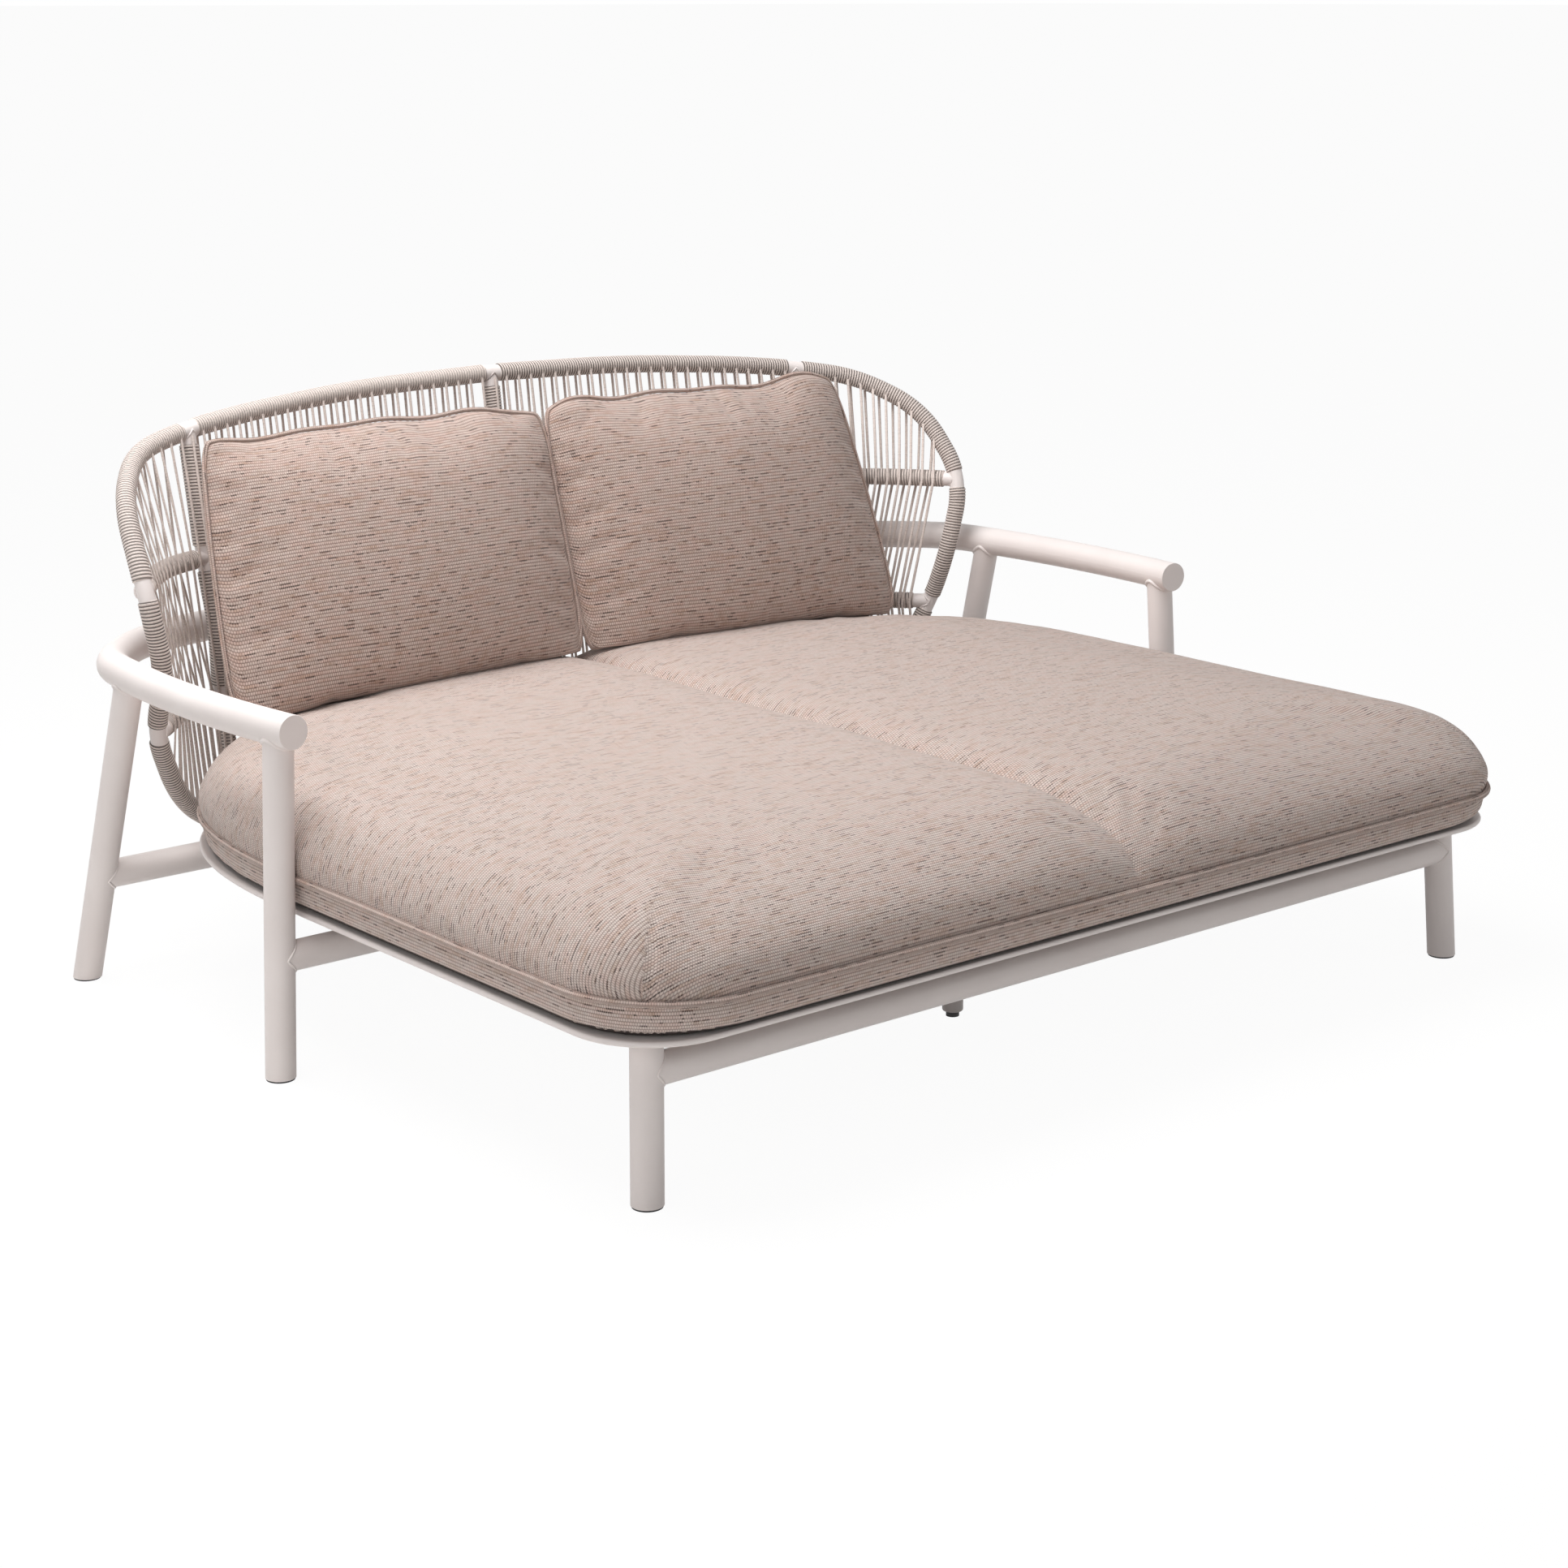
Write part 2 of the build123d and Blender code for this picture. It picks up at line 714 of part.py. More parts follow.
# Back cushions
def cushion_plane(share):
    """The plane of one section, its x axis running up the seam and its y axis to the front."""
    x_low = cushion_gap + (cushion_low_x - cushion_gap) * share
    x_top = cushion_gap + (cushion_top_x - cushion_gap) * share
    y_low = cushion_seat_y + (cushion_side_y - cushion_seat_y) * share
    z_low = cushion_low + (cushion_low_side - cushion_low) * share
    low = Vector(x_low, y_low, z_low)
    along = Vector(x_top, cushion_top_y, cushion_top) - low
    back = along.cross(Vector(1, 0, 0))
    return Plane(origin=low, x_dir=along, z_dir=back.cross(along)), along.length


with BuildPart() as back_cushion:
    for share, swell_share in swell_shares:
        plane, height = cushion_plane(share)
        ahead = cushion_edge / 2 + cushion_front_swell * swell_share
        behind = cushion_edge / 2 + cushion_back_swell * swell_share
        with BuildSketch(plane):
            with BuildLine():
                ThreePointArc((0, 0), (height / 2, ahead), (height, 0))
                ThreePointArc((height, 0), (height / 2, -behind), (0, 0))
            make_face()
    loft()
save_pair(back_cushion.part, "back_cushion")
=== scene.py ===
import math
import random

import bpy
import numpy as np
from mathutils import Matrix, Vector


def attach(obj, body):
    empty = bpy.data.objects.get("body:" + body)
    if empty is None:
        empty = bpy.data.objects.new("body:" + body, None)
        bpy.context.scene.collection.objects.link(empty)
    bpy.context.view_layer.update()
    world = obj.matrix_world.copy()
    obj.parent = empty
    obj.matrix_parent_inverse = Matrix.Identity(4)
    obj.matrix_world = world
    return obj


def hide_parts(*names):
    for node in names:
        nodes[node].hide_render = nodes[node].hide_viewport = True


# The outdoor daybed's looks, around its CAD frame. Shapes are worked out in millimetres and scaled by mm to
# Blender's metres, in which the camera, the lamps, the floor and the looks are given.
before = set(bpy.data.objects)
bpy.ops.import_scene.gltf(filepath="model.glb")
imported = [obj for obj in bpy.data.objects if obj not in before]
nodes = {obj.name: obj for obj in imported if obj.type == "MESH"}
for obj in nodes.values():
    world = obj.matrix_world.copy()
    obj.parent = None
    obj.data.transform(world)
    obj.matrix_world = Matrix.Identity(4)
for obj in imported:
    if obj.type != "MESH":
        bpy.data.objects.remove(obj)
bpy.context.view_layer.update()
scene = bpy.context.scene
mm = 0.001


# Camera, as calibrated on the photograph: lens and sensor in millimetres, place in metres, turns in degrees
lens, sensor, view_end = 68.68, 36, 2000
camera_place, camera_yaw, camera_tilt = (-3.2058, -3.8438, 1.6229), -39.995, 75.207

camera_data = bpy.data.cameras.new("camera")
camera_data.lens = lens
camera_data.sensor_width = sensor
camera_data.clip_end = view_end
camera = bpy.data.objects.new("camera", camera_data)
scene.collection.objects.link(camera)
yaw = Matrix.Rotation(math.radians(camera_yaw), 4, "Z")
tilt = Matrix.Rotation(math.radians(camera_tilt), 4, "X")
camera.matrix_world = Matrix.Translation(camera_place) @ yaw @ tilt
scene.camera = camera
scene.view_settings.view_transform = "Standard"

# Softboxes: place, the point that each faces, width and height, watts
softboxes = {
    "overhead_softbox": ((-0.9, 0.4, 3.1), (0, 0, 0.3), (2.4, 2.4), 110),
    "left_softbox": ((-4.2, -2.2, 2.0), (0, 0, 0.4), (2.2, 2.0), 32),
    "right_softbox": ((3.4, -3.6, 1.8), (0, 0, 0.4), (2.0, 2.0), 16),
}


def area_light(name, place, aim, size, power):
    lamp = bpy.data.lights.new(name, "AREA")
    lamp.shape = "RECTANGLE"
    lamp.size, lamp.size_y = size
    lamp.energy = power
    holder = bpy.data.objects.new(name, lamp)
    holder.location = place
    way = Vector(aim) - Vector(place)
    holder.rotation_euler = way.to_track_quat("-Z", "Y").to_euler()
    scene.collection.objects.link(holder)


for softbox, values in softboxes.items():
    area_light(softbox, *values)


# Node helpers
class Graph:
    """A material's node tree with short calls for its nodes and links."""

    def __init__(self, tree):
        self.tree = tree

    def node(self, kind, operation=None, **inputs):
        made = self.tree.nodes.new("ShaderNode" + kind)
        if operation:
            made.operation = operation
        for key, value in inputs.items():
            self.feed(made, key, value)
        return made

    def coordinates(self, kind):
        return self.node("TexCoord").outputs[kind]

    def feed(self, node, key, value):
        """Set or link an input, which is named with _ for a space, or by its number as i0, i1 and so on."""
        by_number = key[0] == "i" and key[1:].isdigit()
        socket = node.inputs[int(key[1:]) if by_number else key.replace("_", " ")]
        if isinstance(value, bpy.types.NodeSocket):
            self.tree.links.new(value, socket)
        else:
            socket.default_value = value

    def math(self, operation, a, b=0.0, c=0.0):
        return self.node("Math", operation, i0=a, i1=b, i2=c).outputs[0]

    def times(self, a, b):
        return self.math("MULTIPLY", a, b)

    def scaled(self, a, b, c):
        """a times b plus c."""
        return self.math("MULTIPLY_ADD", a, b, c)

    def noise(self, vector, scale, detail=2.0):
        return self.node("TexNoise", Vector=vector, Scale=scale, Detail=detail).outputs["Fac"]

    def ramp(self, factor, stops):
        made = self.node("ValToRGB", Fac=factor)
        elements = made.color_ramp.elements
        while len(elements) < len(stops):
            elements.new(0.5)
        for element, (place, colour) in zip(elements, stops):
            element.position = place
            element.color = (*colour, 1)
        return made.outputs["Color"]

    def mix(self, factor, a, b, blend="MIX"):
        made = self.node("Mix")
        made.data_type = "RGBA"
        made.blend_type = blend
        for key, value in (("i0", factor), ("i6", a), ("i7", b)):
            self.feed(made, key, (*value, 1) if isinstance(value, tuple) else value)
        return made.outputs[2]

    def combine(self, x, y, z=0.0):
        return self.node("CombineXYZ", X=x, Y=y, Z=z).outputs[0]

    def split(self, vector):
        return self.node("SeparateXYZ", Vector=vector).outputs

    def bump(self, height, strength, distance):
        return self.node("Bump", Height=height, Strength=strength, Distance=distance).outputs[0]

    def surface(self, **inputs):
        made = self.node("BsdfPrincipled", **inputs)
        self.node("OutputMaterial", Surface=made.outputs[0])


def material(name):
    made = bpy.data.materials.new(name)
    made.use_nodes = True
    made.node_tree.nodes.clear()
    return made, Graph(made.node_tree)


def rgb(red, green, blue):
    """A colour as it shows on screen, from 0 to 255, in the linear values that nodes take."""
    return tuple(((v / 255 + 0.055) / 1.055) ** 2.4 for v in (red, green, blue))


def seen_directly(g):
    """1 for rays from the camera, from a reflection or through a surface, and 0 for scattered light."""
    rays = g.node("LightPath")
    seen = g.math("MAXIMUM", rays.outputs["Is Camera Ray"], rays.outputs["Is Glossy Ray"])
    return g.math("MAXIMUM", seen, rays.outputs["Is Transmission Ray"])


# World: plain white to the camera and to reflections, softer as a light
white = (1, 1, 1, 1)
world_light = 0.25


def studio_world():
    world = bpy.data.worlds.new("studio")
    world.use_nodes = True
    world.node_tree.nodes.clear()
    g = Graph(world.node_tree)
    strength = g.scaled(seen_directly(g), 1 - world_light, world_light)
    background = g.node("Background", Color=white, Strength=strength)
    g.node("OutputWorld", Surface=background.outputs[0])
    return world


scene.world = studio_world()

# Floor: a wide pale plane that keeps part of the shadow
floor_reach, floor_glow, floor_glow_share = 400, 1.03, 0.92


def floor_look():
    made, g = material("floor")
    glow = g.node("Emission", Color=white, Strength=floor_glow)
    plain = g.node("BsdfDiffuse", Color=(*rgb(236, 234, 232), 1))
    share = g.times(seen_directly(g), floor_glow_share)
    blend = g.node("MixShader", Fac=share, i1=plain.outputs[0], i2=glow.outputs[0])
    g.node("OutputMaterial", Surface=blend.outputs[0])
    return made


floor_mesh = bpy.data.meshes.new("floor")
corners = [(x * floor_reach, y * floor_reach, 0) for x, y in ((-1, -1), (1, -1), (1, 1), (-1, 1))]
floor_mesh.from_pydata(corners, [], [(0, 1, 2, 3)])
floor_mesh.materials.append(floor_look())
floor = bpy.data.objects.new("floor", floor_mesh)
scene.collection.objects.link(floor)


# Materials of the frame, the glides and the cord
def paint_look():
    made, g = material("frame_paint")
    place = g.coordinates("Object")
    cloudy = g.noise(place, 7, 3)
    speckle = g.noise(place, 900, 2)
    colour = g.ramp(cloudy, [(0.3, rgb(232, 223, 220)), (0.7, rgb(238, 230, 227))])
    colour = g.mix(g.times(speckle, 0.16), colour, rgb(212, 201, 197))
    rough = g.scaled(speckle, 0.12, 0.42)
    skin = g.bump(g.noise(place, 520, 3), 0.18, 0.0004)
    g.surface(Base_Color=colour, Roughness=rough, Normal=skin)
    return made


def glide_look():
    made, g = material("glide_plastic")
    place = g.coordinates("Object")
    grain = g.noise(place, 600, 3)
    colour = g.ramp(grain, [(0.2, rgb(34, 33, 33)), (0.8, rgb(52, 50, 49))])
    rough = g.scaled(grain, 0.2, 0.5)
    g.surface(Base_Color=colour, Roughness=rough, Normal=g.bump(grain, 0.3, 0.0004))
    return made


# Cord: its width and thickness, the pitch of its winding and the length of a braid stitch, in millimetres
cord_width, cord_height, wrap_pitch, braid_stitch = 5.4, 3, 5.5, 1.9


def cord_look(name, dark, light, shade):
    """Round braided cord: fine crossed stitches along u, in shade at both edges of its width across v."""
    made, g = material(name)
    uv = g.coordinates("UV")
    u, v, _ = g.split(uv)
    turn = 2 * math.pi / (braid_stitch * mm)
    stitch = g.math("SINE", g.times(g.scaled(v, 0.8, u), turn))
    counter = g.math("SINE", g.times(g.scaled(v, -0.8, u), turn))
    braid = g.scaled(g.times(stitch, counter), 0.5, 0.5)
    fleck = g.noise(g.combine(g.times(u, 0.4), v), 900, 3)
    tone = g.scaled(fleck, 0.7, g.times(braid, 0.3))
    colour = g.ramp(tone, [(0.25, dark), (0.5, light), (0.8, tuple(min(1, 1.12 * c) for c in light))])
    edge = g.math("ABSOLUTE", g.scaled(v, 2 / (cord_width * mm), -1.0))
    shaded = g.node("MapRange", Value=edge, From_Min=0.42, From_Max=0.84, To_Max=0.95)
    colour = g.mix(shaded.outputs[0], colour, shade)
    height = g.scaled(fleck, 0.4, braid)
    g.surface(Base_Color=colour, Roughness=0.72, Normal=g.bump(height, 0.5, 0.0005), Sheen_Weight=0.15)
    return made


paint = paint_look()
plastic = glide_look()
cord_skin = cord_look("cord_braid", rgb(172, 156, 148), rgb(226, 213, 206), rgb(52, 42, 38))


# Weave: height of a row, width of a cell and pitch of the dark dots, in millimetres
weave_row, weave_cell, weave_dot = 5.4, 3.8, 3.2


def cloth_look(name, shade, shade_warmth):
    """Melange weave in rows along u: pale cells, grooves darkened with painted shade, and short runs of dark
    dots between rows.
    """
    made, g = material(name)
    uv = g.coordinates("UV")
    u, v, _ = g.split(uv)

    # shade darkens the whole cloth and the warmth term warms it, for copies that paint shade on whole parts
    def tone(red, green, blue):
        return rgb(shade * red, shade * green * (1 - shade_warmth), shade * blue * (1 - 1.5 * shade_warmth))

    rows = g.math("DIVIDE", v, weave_row * mm)
    row = g.math("FLOOR", rows)
    odd = g.times(g.math("MODULO", g.math("ABSOLUTE", row), 2.0), 0.5)
    cells = g.math("ADD", g.math("DIVIDE", u, weave_cell * mm), odd)
    across = g.math("SINE", g.times(g.math("FRACT", cells), math.pi))
    along = g.math("SINE", g.times(g.math("FRACT", rows), math.pi))
    weave = g.times(g.math("POWER", across, 0.45), g.math("POWER", along, 0.6))
    chance = g.node("TexWhiteNoise", Vector=g.combine(g.math("FLOOR", cells), row)).outputs["Value"]
    yarn = g.noise(g.combine(g.times(u, 21), g.times(row, 3.19), 4.0), 1.0, 1)
    stops = [
        (0.3, tone(207, 179, 162)),
        (0.43, tone(223, 198, 188)),
        (0.55, tone(221, 206, 198)),
        (0.7, tone(207, 184, 169)),
    ]
    colour = g.mix(g.times(chance, 0.4), g.ramp(yarn, stops), tone(247, 230, 222))
    # Painted shade: the weave's grooves darken towards a deep brown
    gap = g.math("POWER", g.math("SUBTRACT", 1.0, weave), 1.35)
    colour = g.mix(g.times(gap, 0.88), colour, tone(100, 76, 67))
    lines = g.math("ADD", rows, 0.5)
    line = g.math("FLOOR", lines)
    middle = g.math("ABSOLUTE", g.math("SUBTRACT", g.math("FRACT", lines), 0.5))
    streak = g.noise(g.combine(g.times(u, 36), g.times(line, 5.37)), 1.0, 2)
    dots = g.math("GREATER_THAN", g.math("FRACT", g.math("DIVIDE", u, weave_dot * mm)), 0.26)
    run = g.times(g.math("GREATER_THAN", streak, 0.6), g.math("LESS_THAN", middle, 0.24))
    dash = g.times(run, dots)
    dark = g.ramp(yarn, [(0.4, rgb(58, 42, 40)), (0.5, rgb(62, 54, 48)), (0.6, rgb(92, 62, 54))])
    colour = g.mix(g.times(dash, 0.85), colour, dark)
    fuzz = g.noise(g.combine(u, v), 2400, 2)
    height = g.scaled(fuzz, 0.25, weave)
    skin = g.bump(height, 0.6, 0.0012)
    g.surface(Base_Color=colour, Roughness=0.88, Normal=skin, Sheen_Weight=0.2, Sheen_Roughness=0.5)
    return made


# The band and back cloths are darker, warmer copies of the seat cloth: painted shade for the mattress's
# piping and the back cushions
seat_cloth = cloth_look("seat_cloth", 0.95, 0.0)
band_cloth = cloth_look("band_cloth", 0.93, 0.02)
back_cloth = cloth_look("back_cloth", 0.885, 0.03)


def painted_shadow_look():
    """A dark cloth, finely ribbed, on the mattress's underside and the lowest strip of its band: painted
    shadow for the dark gap between the band and the deck's rim.
    """
    made, g = material("painted_gap_shadow")
    place = g.coordinates("Object")
    grain = g.noise(place, 700, 2)
    colour = g.ramp(grain, [(0.3, rgb(46, 38, 36)), (0.7, rgb(66, 56, 52))])
    g.surface(Base_Color=colour, Roughness=0.9, Normal=g.bump(grain, 0.4, 0.0005))
    return made


painted_shadow_cloth = painted_shadow_look()

# Looks of the CAD nodes, by the name of their material slot
looks = {
    "frame": paint,
    "glide": plastic,
    "cord": cord_skin,
    "mattress_cloth": seat_cloth,
    "cushion_cloth": back_cloth,
}
for node in nodes.values():
    for holder in node.material_slots:
        slot_name = holder.material.name.split(".")[0] if holder.material else "frame"
        holder.material = looks.get(slot_name, paint)


# Mesh helpers
def read_out(items, attribute, kind=np.float32, size=1):
    """An attribute of a mesh's vertices, faces or face corners as an array."""
    found = np.empty(len(items) * size, kind)
    items.foreach_get(attribute, found)
    return found if size == 1 else found.reshape(-1, size)


def set_uvs(mesh, uvs):
    layer = mesh.uv_layers.new(name="weave")
    layer.data.foreach_set("uv", uvs.astype(np.float32).ravel())


def mesh_piece(name, points, faces, look, uvs=None):
    """A new object with UVs in metres, given by vertex or by face corner."""
    mesh = bpy.data.meshes.new(name)
    mesh.from_pydata([tuple(p) for p in points], [], faces)
    if uvs is not None:
        by_vertex = len(uvs) == len(mesh.vertices)
        set_uvs(mesh, uvs[read_out(mesh.loops, "vertex_index", int)] if by_vertex else uvs)
    mesh.polygons.foreach_set("use_smooth", [True] * len(mesh.polygons))
    mesh.materials.append(look)
    made = bpy.data.objects.new(name, mesh)
    scene.collection.objects.link(made)
    return made


def vertices_of(mesh):
    return read_out(mesh.vertices, "co", size=3).astype(float)


def normals_of(mesh):
    return read_out(mesh.vertex_normals, "vector", size=3).astype(float)


def set_vertices(mesh, points):
    mesh.vertices.foreach_set("co", points.astype(np.float32).ravel())
    mesh.update()


def evaluated_mesh(made):
    depsgraph = bpy.context.evaluated_depsgraph_get()
    return bpy.data.meshes.new_from_object(made.evaluated_get(depsgraph))


def apply_modifiers(made):
    """Put the result of an object's modifiers in place of its mesh."""
    result = evaluated_mesh(made)
    made.modifiers.clear()
    made.data = result


def subdivide(made, levels):
    finer = made.modifiers.new("finer", "SUBSURF")
    finer.levels = finer.render_levels = levels
    apply_modifiers(made)


def smoothstep(value, low, high):
    share = np.clip((value - low) / (high - low), 0, 1)
    return share * share * (3 - 2 * share)


def unit(vectors):
    return vectors / np.linalg.norm(vectors, axis=-1, keepdims=True)


def distances(points):
    """How far along a path each of its points lies."""
    return np.concatenate([[0], np.cumsum(np.linalg.norm(np.diff(points, axis=0), axis=1))])


ring_angles = np.linspace(0, 2 * math.pi, 10, endpoint=False)


def tube_round(path, first, second, radius):
    """Rings of points round a path, given its two directions across."""
    ring = first[:, None] * np.cos(ring_angles)[:, None] + second[:, None] * np.sin(ring_angles)[:, None]
    return path[:, None] + radius * ring


def in_metres(points, faces, u, v):
    """A part's points, faces and UVs, as mesh_piece takes them."""
    return points.reshape(-1, 3) * mm, faces, np.stack([u, v], axis=-1).reshape(-1, 2) * mm


def ring_quads(rings, size, closed=True):
    """Faces between rings of points, the last ring joined to the first one if it is closed."""
    faces = []
    for i in range(rings if closed else rings - 1):
        for j in range(size):
            k, m = (j + 1) % size, (i + 1) % rings
            faces.append((i * size + j, i * size + k, m * size + k, m * size + j))
    return faces


# Middle lines of the bent tubes, as the source bends them
bend_share = 0.45


def arc_points(start, heading, end, step=4.0):
    """Points after start on the arc that leaves it along heading and ends at end, and the heading there."""
    along = heading.normalized()
    chord = end - start
    side = chord - along * chord.dot(along)
    half_turn = math.atan2(side.length, chord.dot(along))
    if half_turn < 1e-4:
        return [end], along
    side.normalize()
    radius = chord.length / (2 * math.sin(half_turn))
    count = max(2, math.ceil(2 * half_turn * radius / step))
    points = []
    for i in range(1, count + 1):
        angle = half_turn * i / count
        reach = 2 * radius * math.sin(angle)
        points.append(start + along * (reach * math.cos(angle)) + side * (reach * math.sin(angle)))
    return points, along * math.cos(2 * half_turn) + side * math.sin(2 * half_turn)


def bent_line(points):
    line = [points[0]]
    for before, corner, after in zip(points, points[1:], points[2:]):
        reach = bend_share * min((corner - before).length, (after - corner).length)
        start = corner + (before - corner).normalized() * reach
        end = corner + (after - corner).normalized() * reach
        line.append(start)
        line += arc_points(start, corner - before, end)[0]
    return line + [points[-1]]


class Line:
    """A path as points 1 mm apart, with its length, places and headings."""

    def __init__(self, points):
        raw = np.array([tuple(p) for p in points])
        steps = np.linalg.norm(np.diff(raw, axis=0), axis=1)
        raw = raw[np.concatenate([[True], steps > 1e-6])]
        along = distances(raw)
        self.length = along[-1]
        self.along = np.linspace(0, self.length, int(self.length) + 2)
        self.points = np.stack([np.interp(self.along, along, raw[:, k]) for k in range(3)], axis=1)

    def at(self, distance):
        return np.stack([np.interp(distance, self.along, self.points[:, k]) for k in range(3)], axis=-1)

    def heading(self, distance, reach=3.0):
        ahead, behind = np.minimum(distance + reach, self.length), np.maximum(distance - reach, 0)
        return unit(self.at(ahead) - self.at(behind))

    def where(self, test):
        """The first distance at which a test of the points turns true."""
        return self.along[np.argmax(test(self.points))]

    def nearest(self, point):
        return self.along[np.argmin(np.linalg.norm(self.points - point, axis=1))]

    def mirrored(self):
        return Line(self.points * (-1, 1, 1))


# The loop's corners, as shares of its half width, its depth and its height from the top's middle down
loop_top, loop_bottom, loop_side_x, loop_side_y, loop_back_y = 933.1, 196, 910.1, 521.6, 840.4
loop_shares = [
    (0, 1, 1),
    (0.331, 0.977, 0.993),
    (0.599, 0.864, 0.970),
    (0.754, 0.773, 0.949),
    (0.894, 0.614, 0.918),
    (0.984, 0.277, 0.833),
    (1.0065, -0.036, 0.657),
    (0.9715, -0.012, 0.458),
    (0.971, 0.137, 0.310),
    (0.899, 0.286, 0.1205),
    (0.738, 0.569, -0.010),
    (0.440, 0.714, -0.002),
    (0, 0.771, 0),
]
loop_depth, loop_height = loop_back_y - loop_side_y, loop_top - loop_bottom
loop_corners = [
    Vector((loop_side_x * x, loop_side_y + loop_depth * y, loop_bottom + loop_height * z))
    for x, y, z in loop_shares
]
loop = Line(bent_line(loop_corners))
arm_height, arm_tube, back_tube, wrap_thickness = 549.6, 54.4, 28.8, 2.6
mid_height, low_height, rib_place, rib_arm_gap = 676.8, 425.3, 685.4, 4
rail_back_y = 805.8
wrap_radius = back_tube / 2 + wrap_thickness


def tangent_chain(points):
    """Arcs through the points, each leaving along the last one's heading, the first one along X."""
    line, heading = [points[0]], Vector((1, 0, 0))
    for point in points[1:]:
        arc, heading = arc_points(line[-1], heading, point)
        line += arc
    return line


def level_chain(height, middle_y, end, shares):
    """A level line from its middle to its end, through places given as shares of the two."""
    places = [Vector((0, middle_y, height))]
    places += [Vector((end[0] * x, end[1] + (middle_y - end[1]) * y, height)) for x, y in shares + [(1, 0)]]
    return Line(tangent_chain(places))


mid_on_loop = loop.where(lambda p: p[:, 2] < mid_height)
low_on_loop = loop.where(lambda p: p[:, 2] < low_height)
mid_rail = level_chain(mid_height, rail_back_y, loop.at(mid_on_loop), [(0.753, 0.720), (0.887, 0.476)])
low_rail = level_chain(low_height, rail_back_y, loop.at(low_on_loop), [(0.734, 0.720), (0.911, 0.345)])
low_rib_place = rib_place * loop.at(low_on_loop)[0] / loop.at(mid_on_loop)[0]
arm_end_y, arm_back_y, arm_cap_x = -22.6, 841.5, 964.8
arm_shares = [(0.7463, 0.8928), (0.9044, 0.7969), (0.9587, 0.7332), (0.9961, 0.6393)]
arm = level_chain(arm_height, arm_back_y, (arm_cap_x, arm_end_y), arm_shares)
top_rib = loop.where(lambda p: p[:, 0] > rib_place)
low_rib = loop.where(lambda p: (p[:, 0] < low_rib_place) & (p[:, 2] < arm_height))
mid_rib = mid_rail.where(lambda p: p[:, 0] > rib_place)
low_rail_rib = low_rail.where(lambda p: p[:, 0] > low_rib_place)


def rib_line(top, mid, low, bottom):
    """A rib through its places on the loop and the rails, bent to pass in front of the arm rail."""
    upper, lower = mid_rail.at(mid), low_rail.at(low)
    place = lower[0] + (upper[0] - lower[0]) * (arm_height - lower[2]) / (upper[2] - lower[2])
    on_arm = arm.where(lambda p: p[:, 0] > place - 0.5)
    arm_y = arm.at(on_arm)[1] - (arm_tube / 2 + wrap_radius + rib_arm_gap) / arm.heading(on_arm)[0]
    points = [loop.at(top), upper, (place, arm_y, arm_height), lower, loop.at(bottom)]
    return Line(bent_line([Vector(p) for p in points]))


side_rib = rib_line(top_rib, mid_rib, low_rail_rib, low_rib)
centre_rib = rib_line(0, 0, 0, loop.length)


# Wound cord on the tubes: a helix of half-round turns, each with its section's places across the cord
turn_shares = [0, 0.09, 0.28, 0.5, 0.72, 0.91]
around = 20
wrap_sink, valley_share, uneven_turn = 0.4, 0.25, 0.35


def wound(line, start, end, reference, seed=0):
    """Points, faces and UVs of the winding between two distances on a line."""
    length = end - start
    turns = max(2, round(length / wrap_pitch))
    pitch = length / turns
    chance = np.random.default_rng(seed)
    uneven = np.repeat(chance.normal(0, 0.10, turns + 2), len(turn_shares))
    share = np.tile(turn_shares, turns + 2)
    turn = np.repeat(np.arange(turns + 2), len(turn_shares)) + share - 1
    angle = np.arange(around) / around
    place = np.clip(pitch * (turn[:, None] + angle[None, :]), 0, length)
    bulge = np.sqrt(np.maximum(0, 1 - np.abs(2 * share - 1) ** 2.4))
    swell = wrap_thickness * (valley_share + (1 - valley_share) * bulge) + uneven_turn * uneven * bulge
    fade = smoothstep(place, 0, 0.5 * pitch) * smoothstep(length - place, 0, 0.5 * pitch)
    radius = back_tube / 2 - wrap_sink + (swell[:, None] + wrap_sink) * fade
    centre = line.at(start + place)
    heading = line.heading(start + place)
    up = unit(reference - heading * (heading @ reference)[..., None])
    side = np.cross(heading, up)
    swing = 2 * math.pi * angle[None, :, None]
    points = centre + radius[..., None] * (up * np.cos(swing) + side * np.sin(swing))
    grid = np.arange(len(turn) * around).reshape(-1, around).T
    faces = np.stack([grid[:-1, :-1], grid[1:, :-1], grid[1:, 1:], grid[:-1, 1:]], axis=-1).reshape(-1, 4)
    group = len(turn_shares)
    seam = [grid[-1, :-1 - group], grid[0, group:-1], grid[0, group + 1:], grid[-1, 1:-group]]
    faces = np.concatenate([faces, np.stack(seam, axis=1)])
    faces = faces[np.ptp(place.reshape(-1)[faces], axis=1) > 1e-6]
    u = (np.floor(turn)[:, None] + angle[None, :]) * 2 * math.pi * wrap_radius
    v = np.broadcast_to(share[:, None] * cord_width, u.shape)
    return in_metres(points, faces, u, v)


def joined(parts):
    """Several parts, each with points, faces and UVs, as one."""
    points, faces, uvs, count = [], [], [], 0
    for part in parts:
        points.append(part[0])
        faces += (np.asarray(part[1]) + count).tolist()
        uvs.append(part[2])
        count += len(part[0])
    return np.concatenate(points), faces, np.concatenate(uvs)


def mirrored(part):
    return part[0] * (-1, 1, 1), np.asarray(part[1])[:, ::-1], part[2]


def with_mirrored(parts):
    return parts + [mirrored(part) for part in parts]


def cord_piece(name, parts, *replaced):
    points, faces, uvs = joined(parts)
    made = mesh_piece(name, points, faces, cord_skin, uvs)
    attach(made, "root")
    if replaced:
        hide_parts(*replaced)


# The bare stretch at each crossing, and the rails' and ribs' clearance from the loop
bare_loop = back_tube / 2 + 1.5
bare_rail = wrap_radius + 4.5
clear, low_clear = 2.5, 9
depth_axis, side_axis, up_axis = (0, 1, 0), (1, 0, 0), (0, 0, 1)


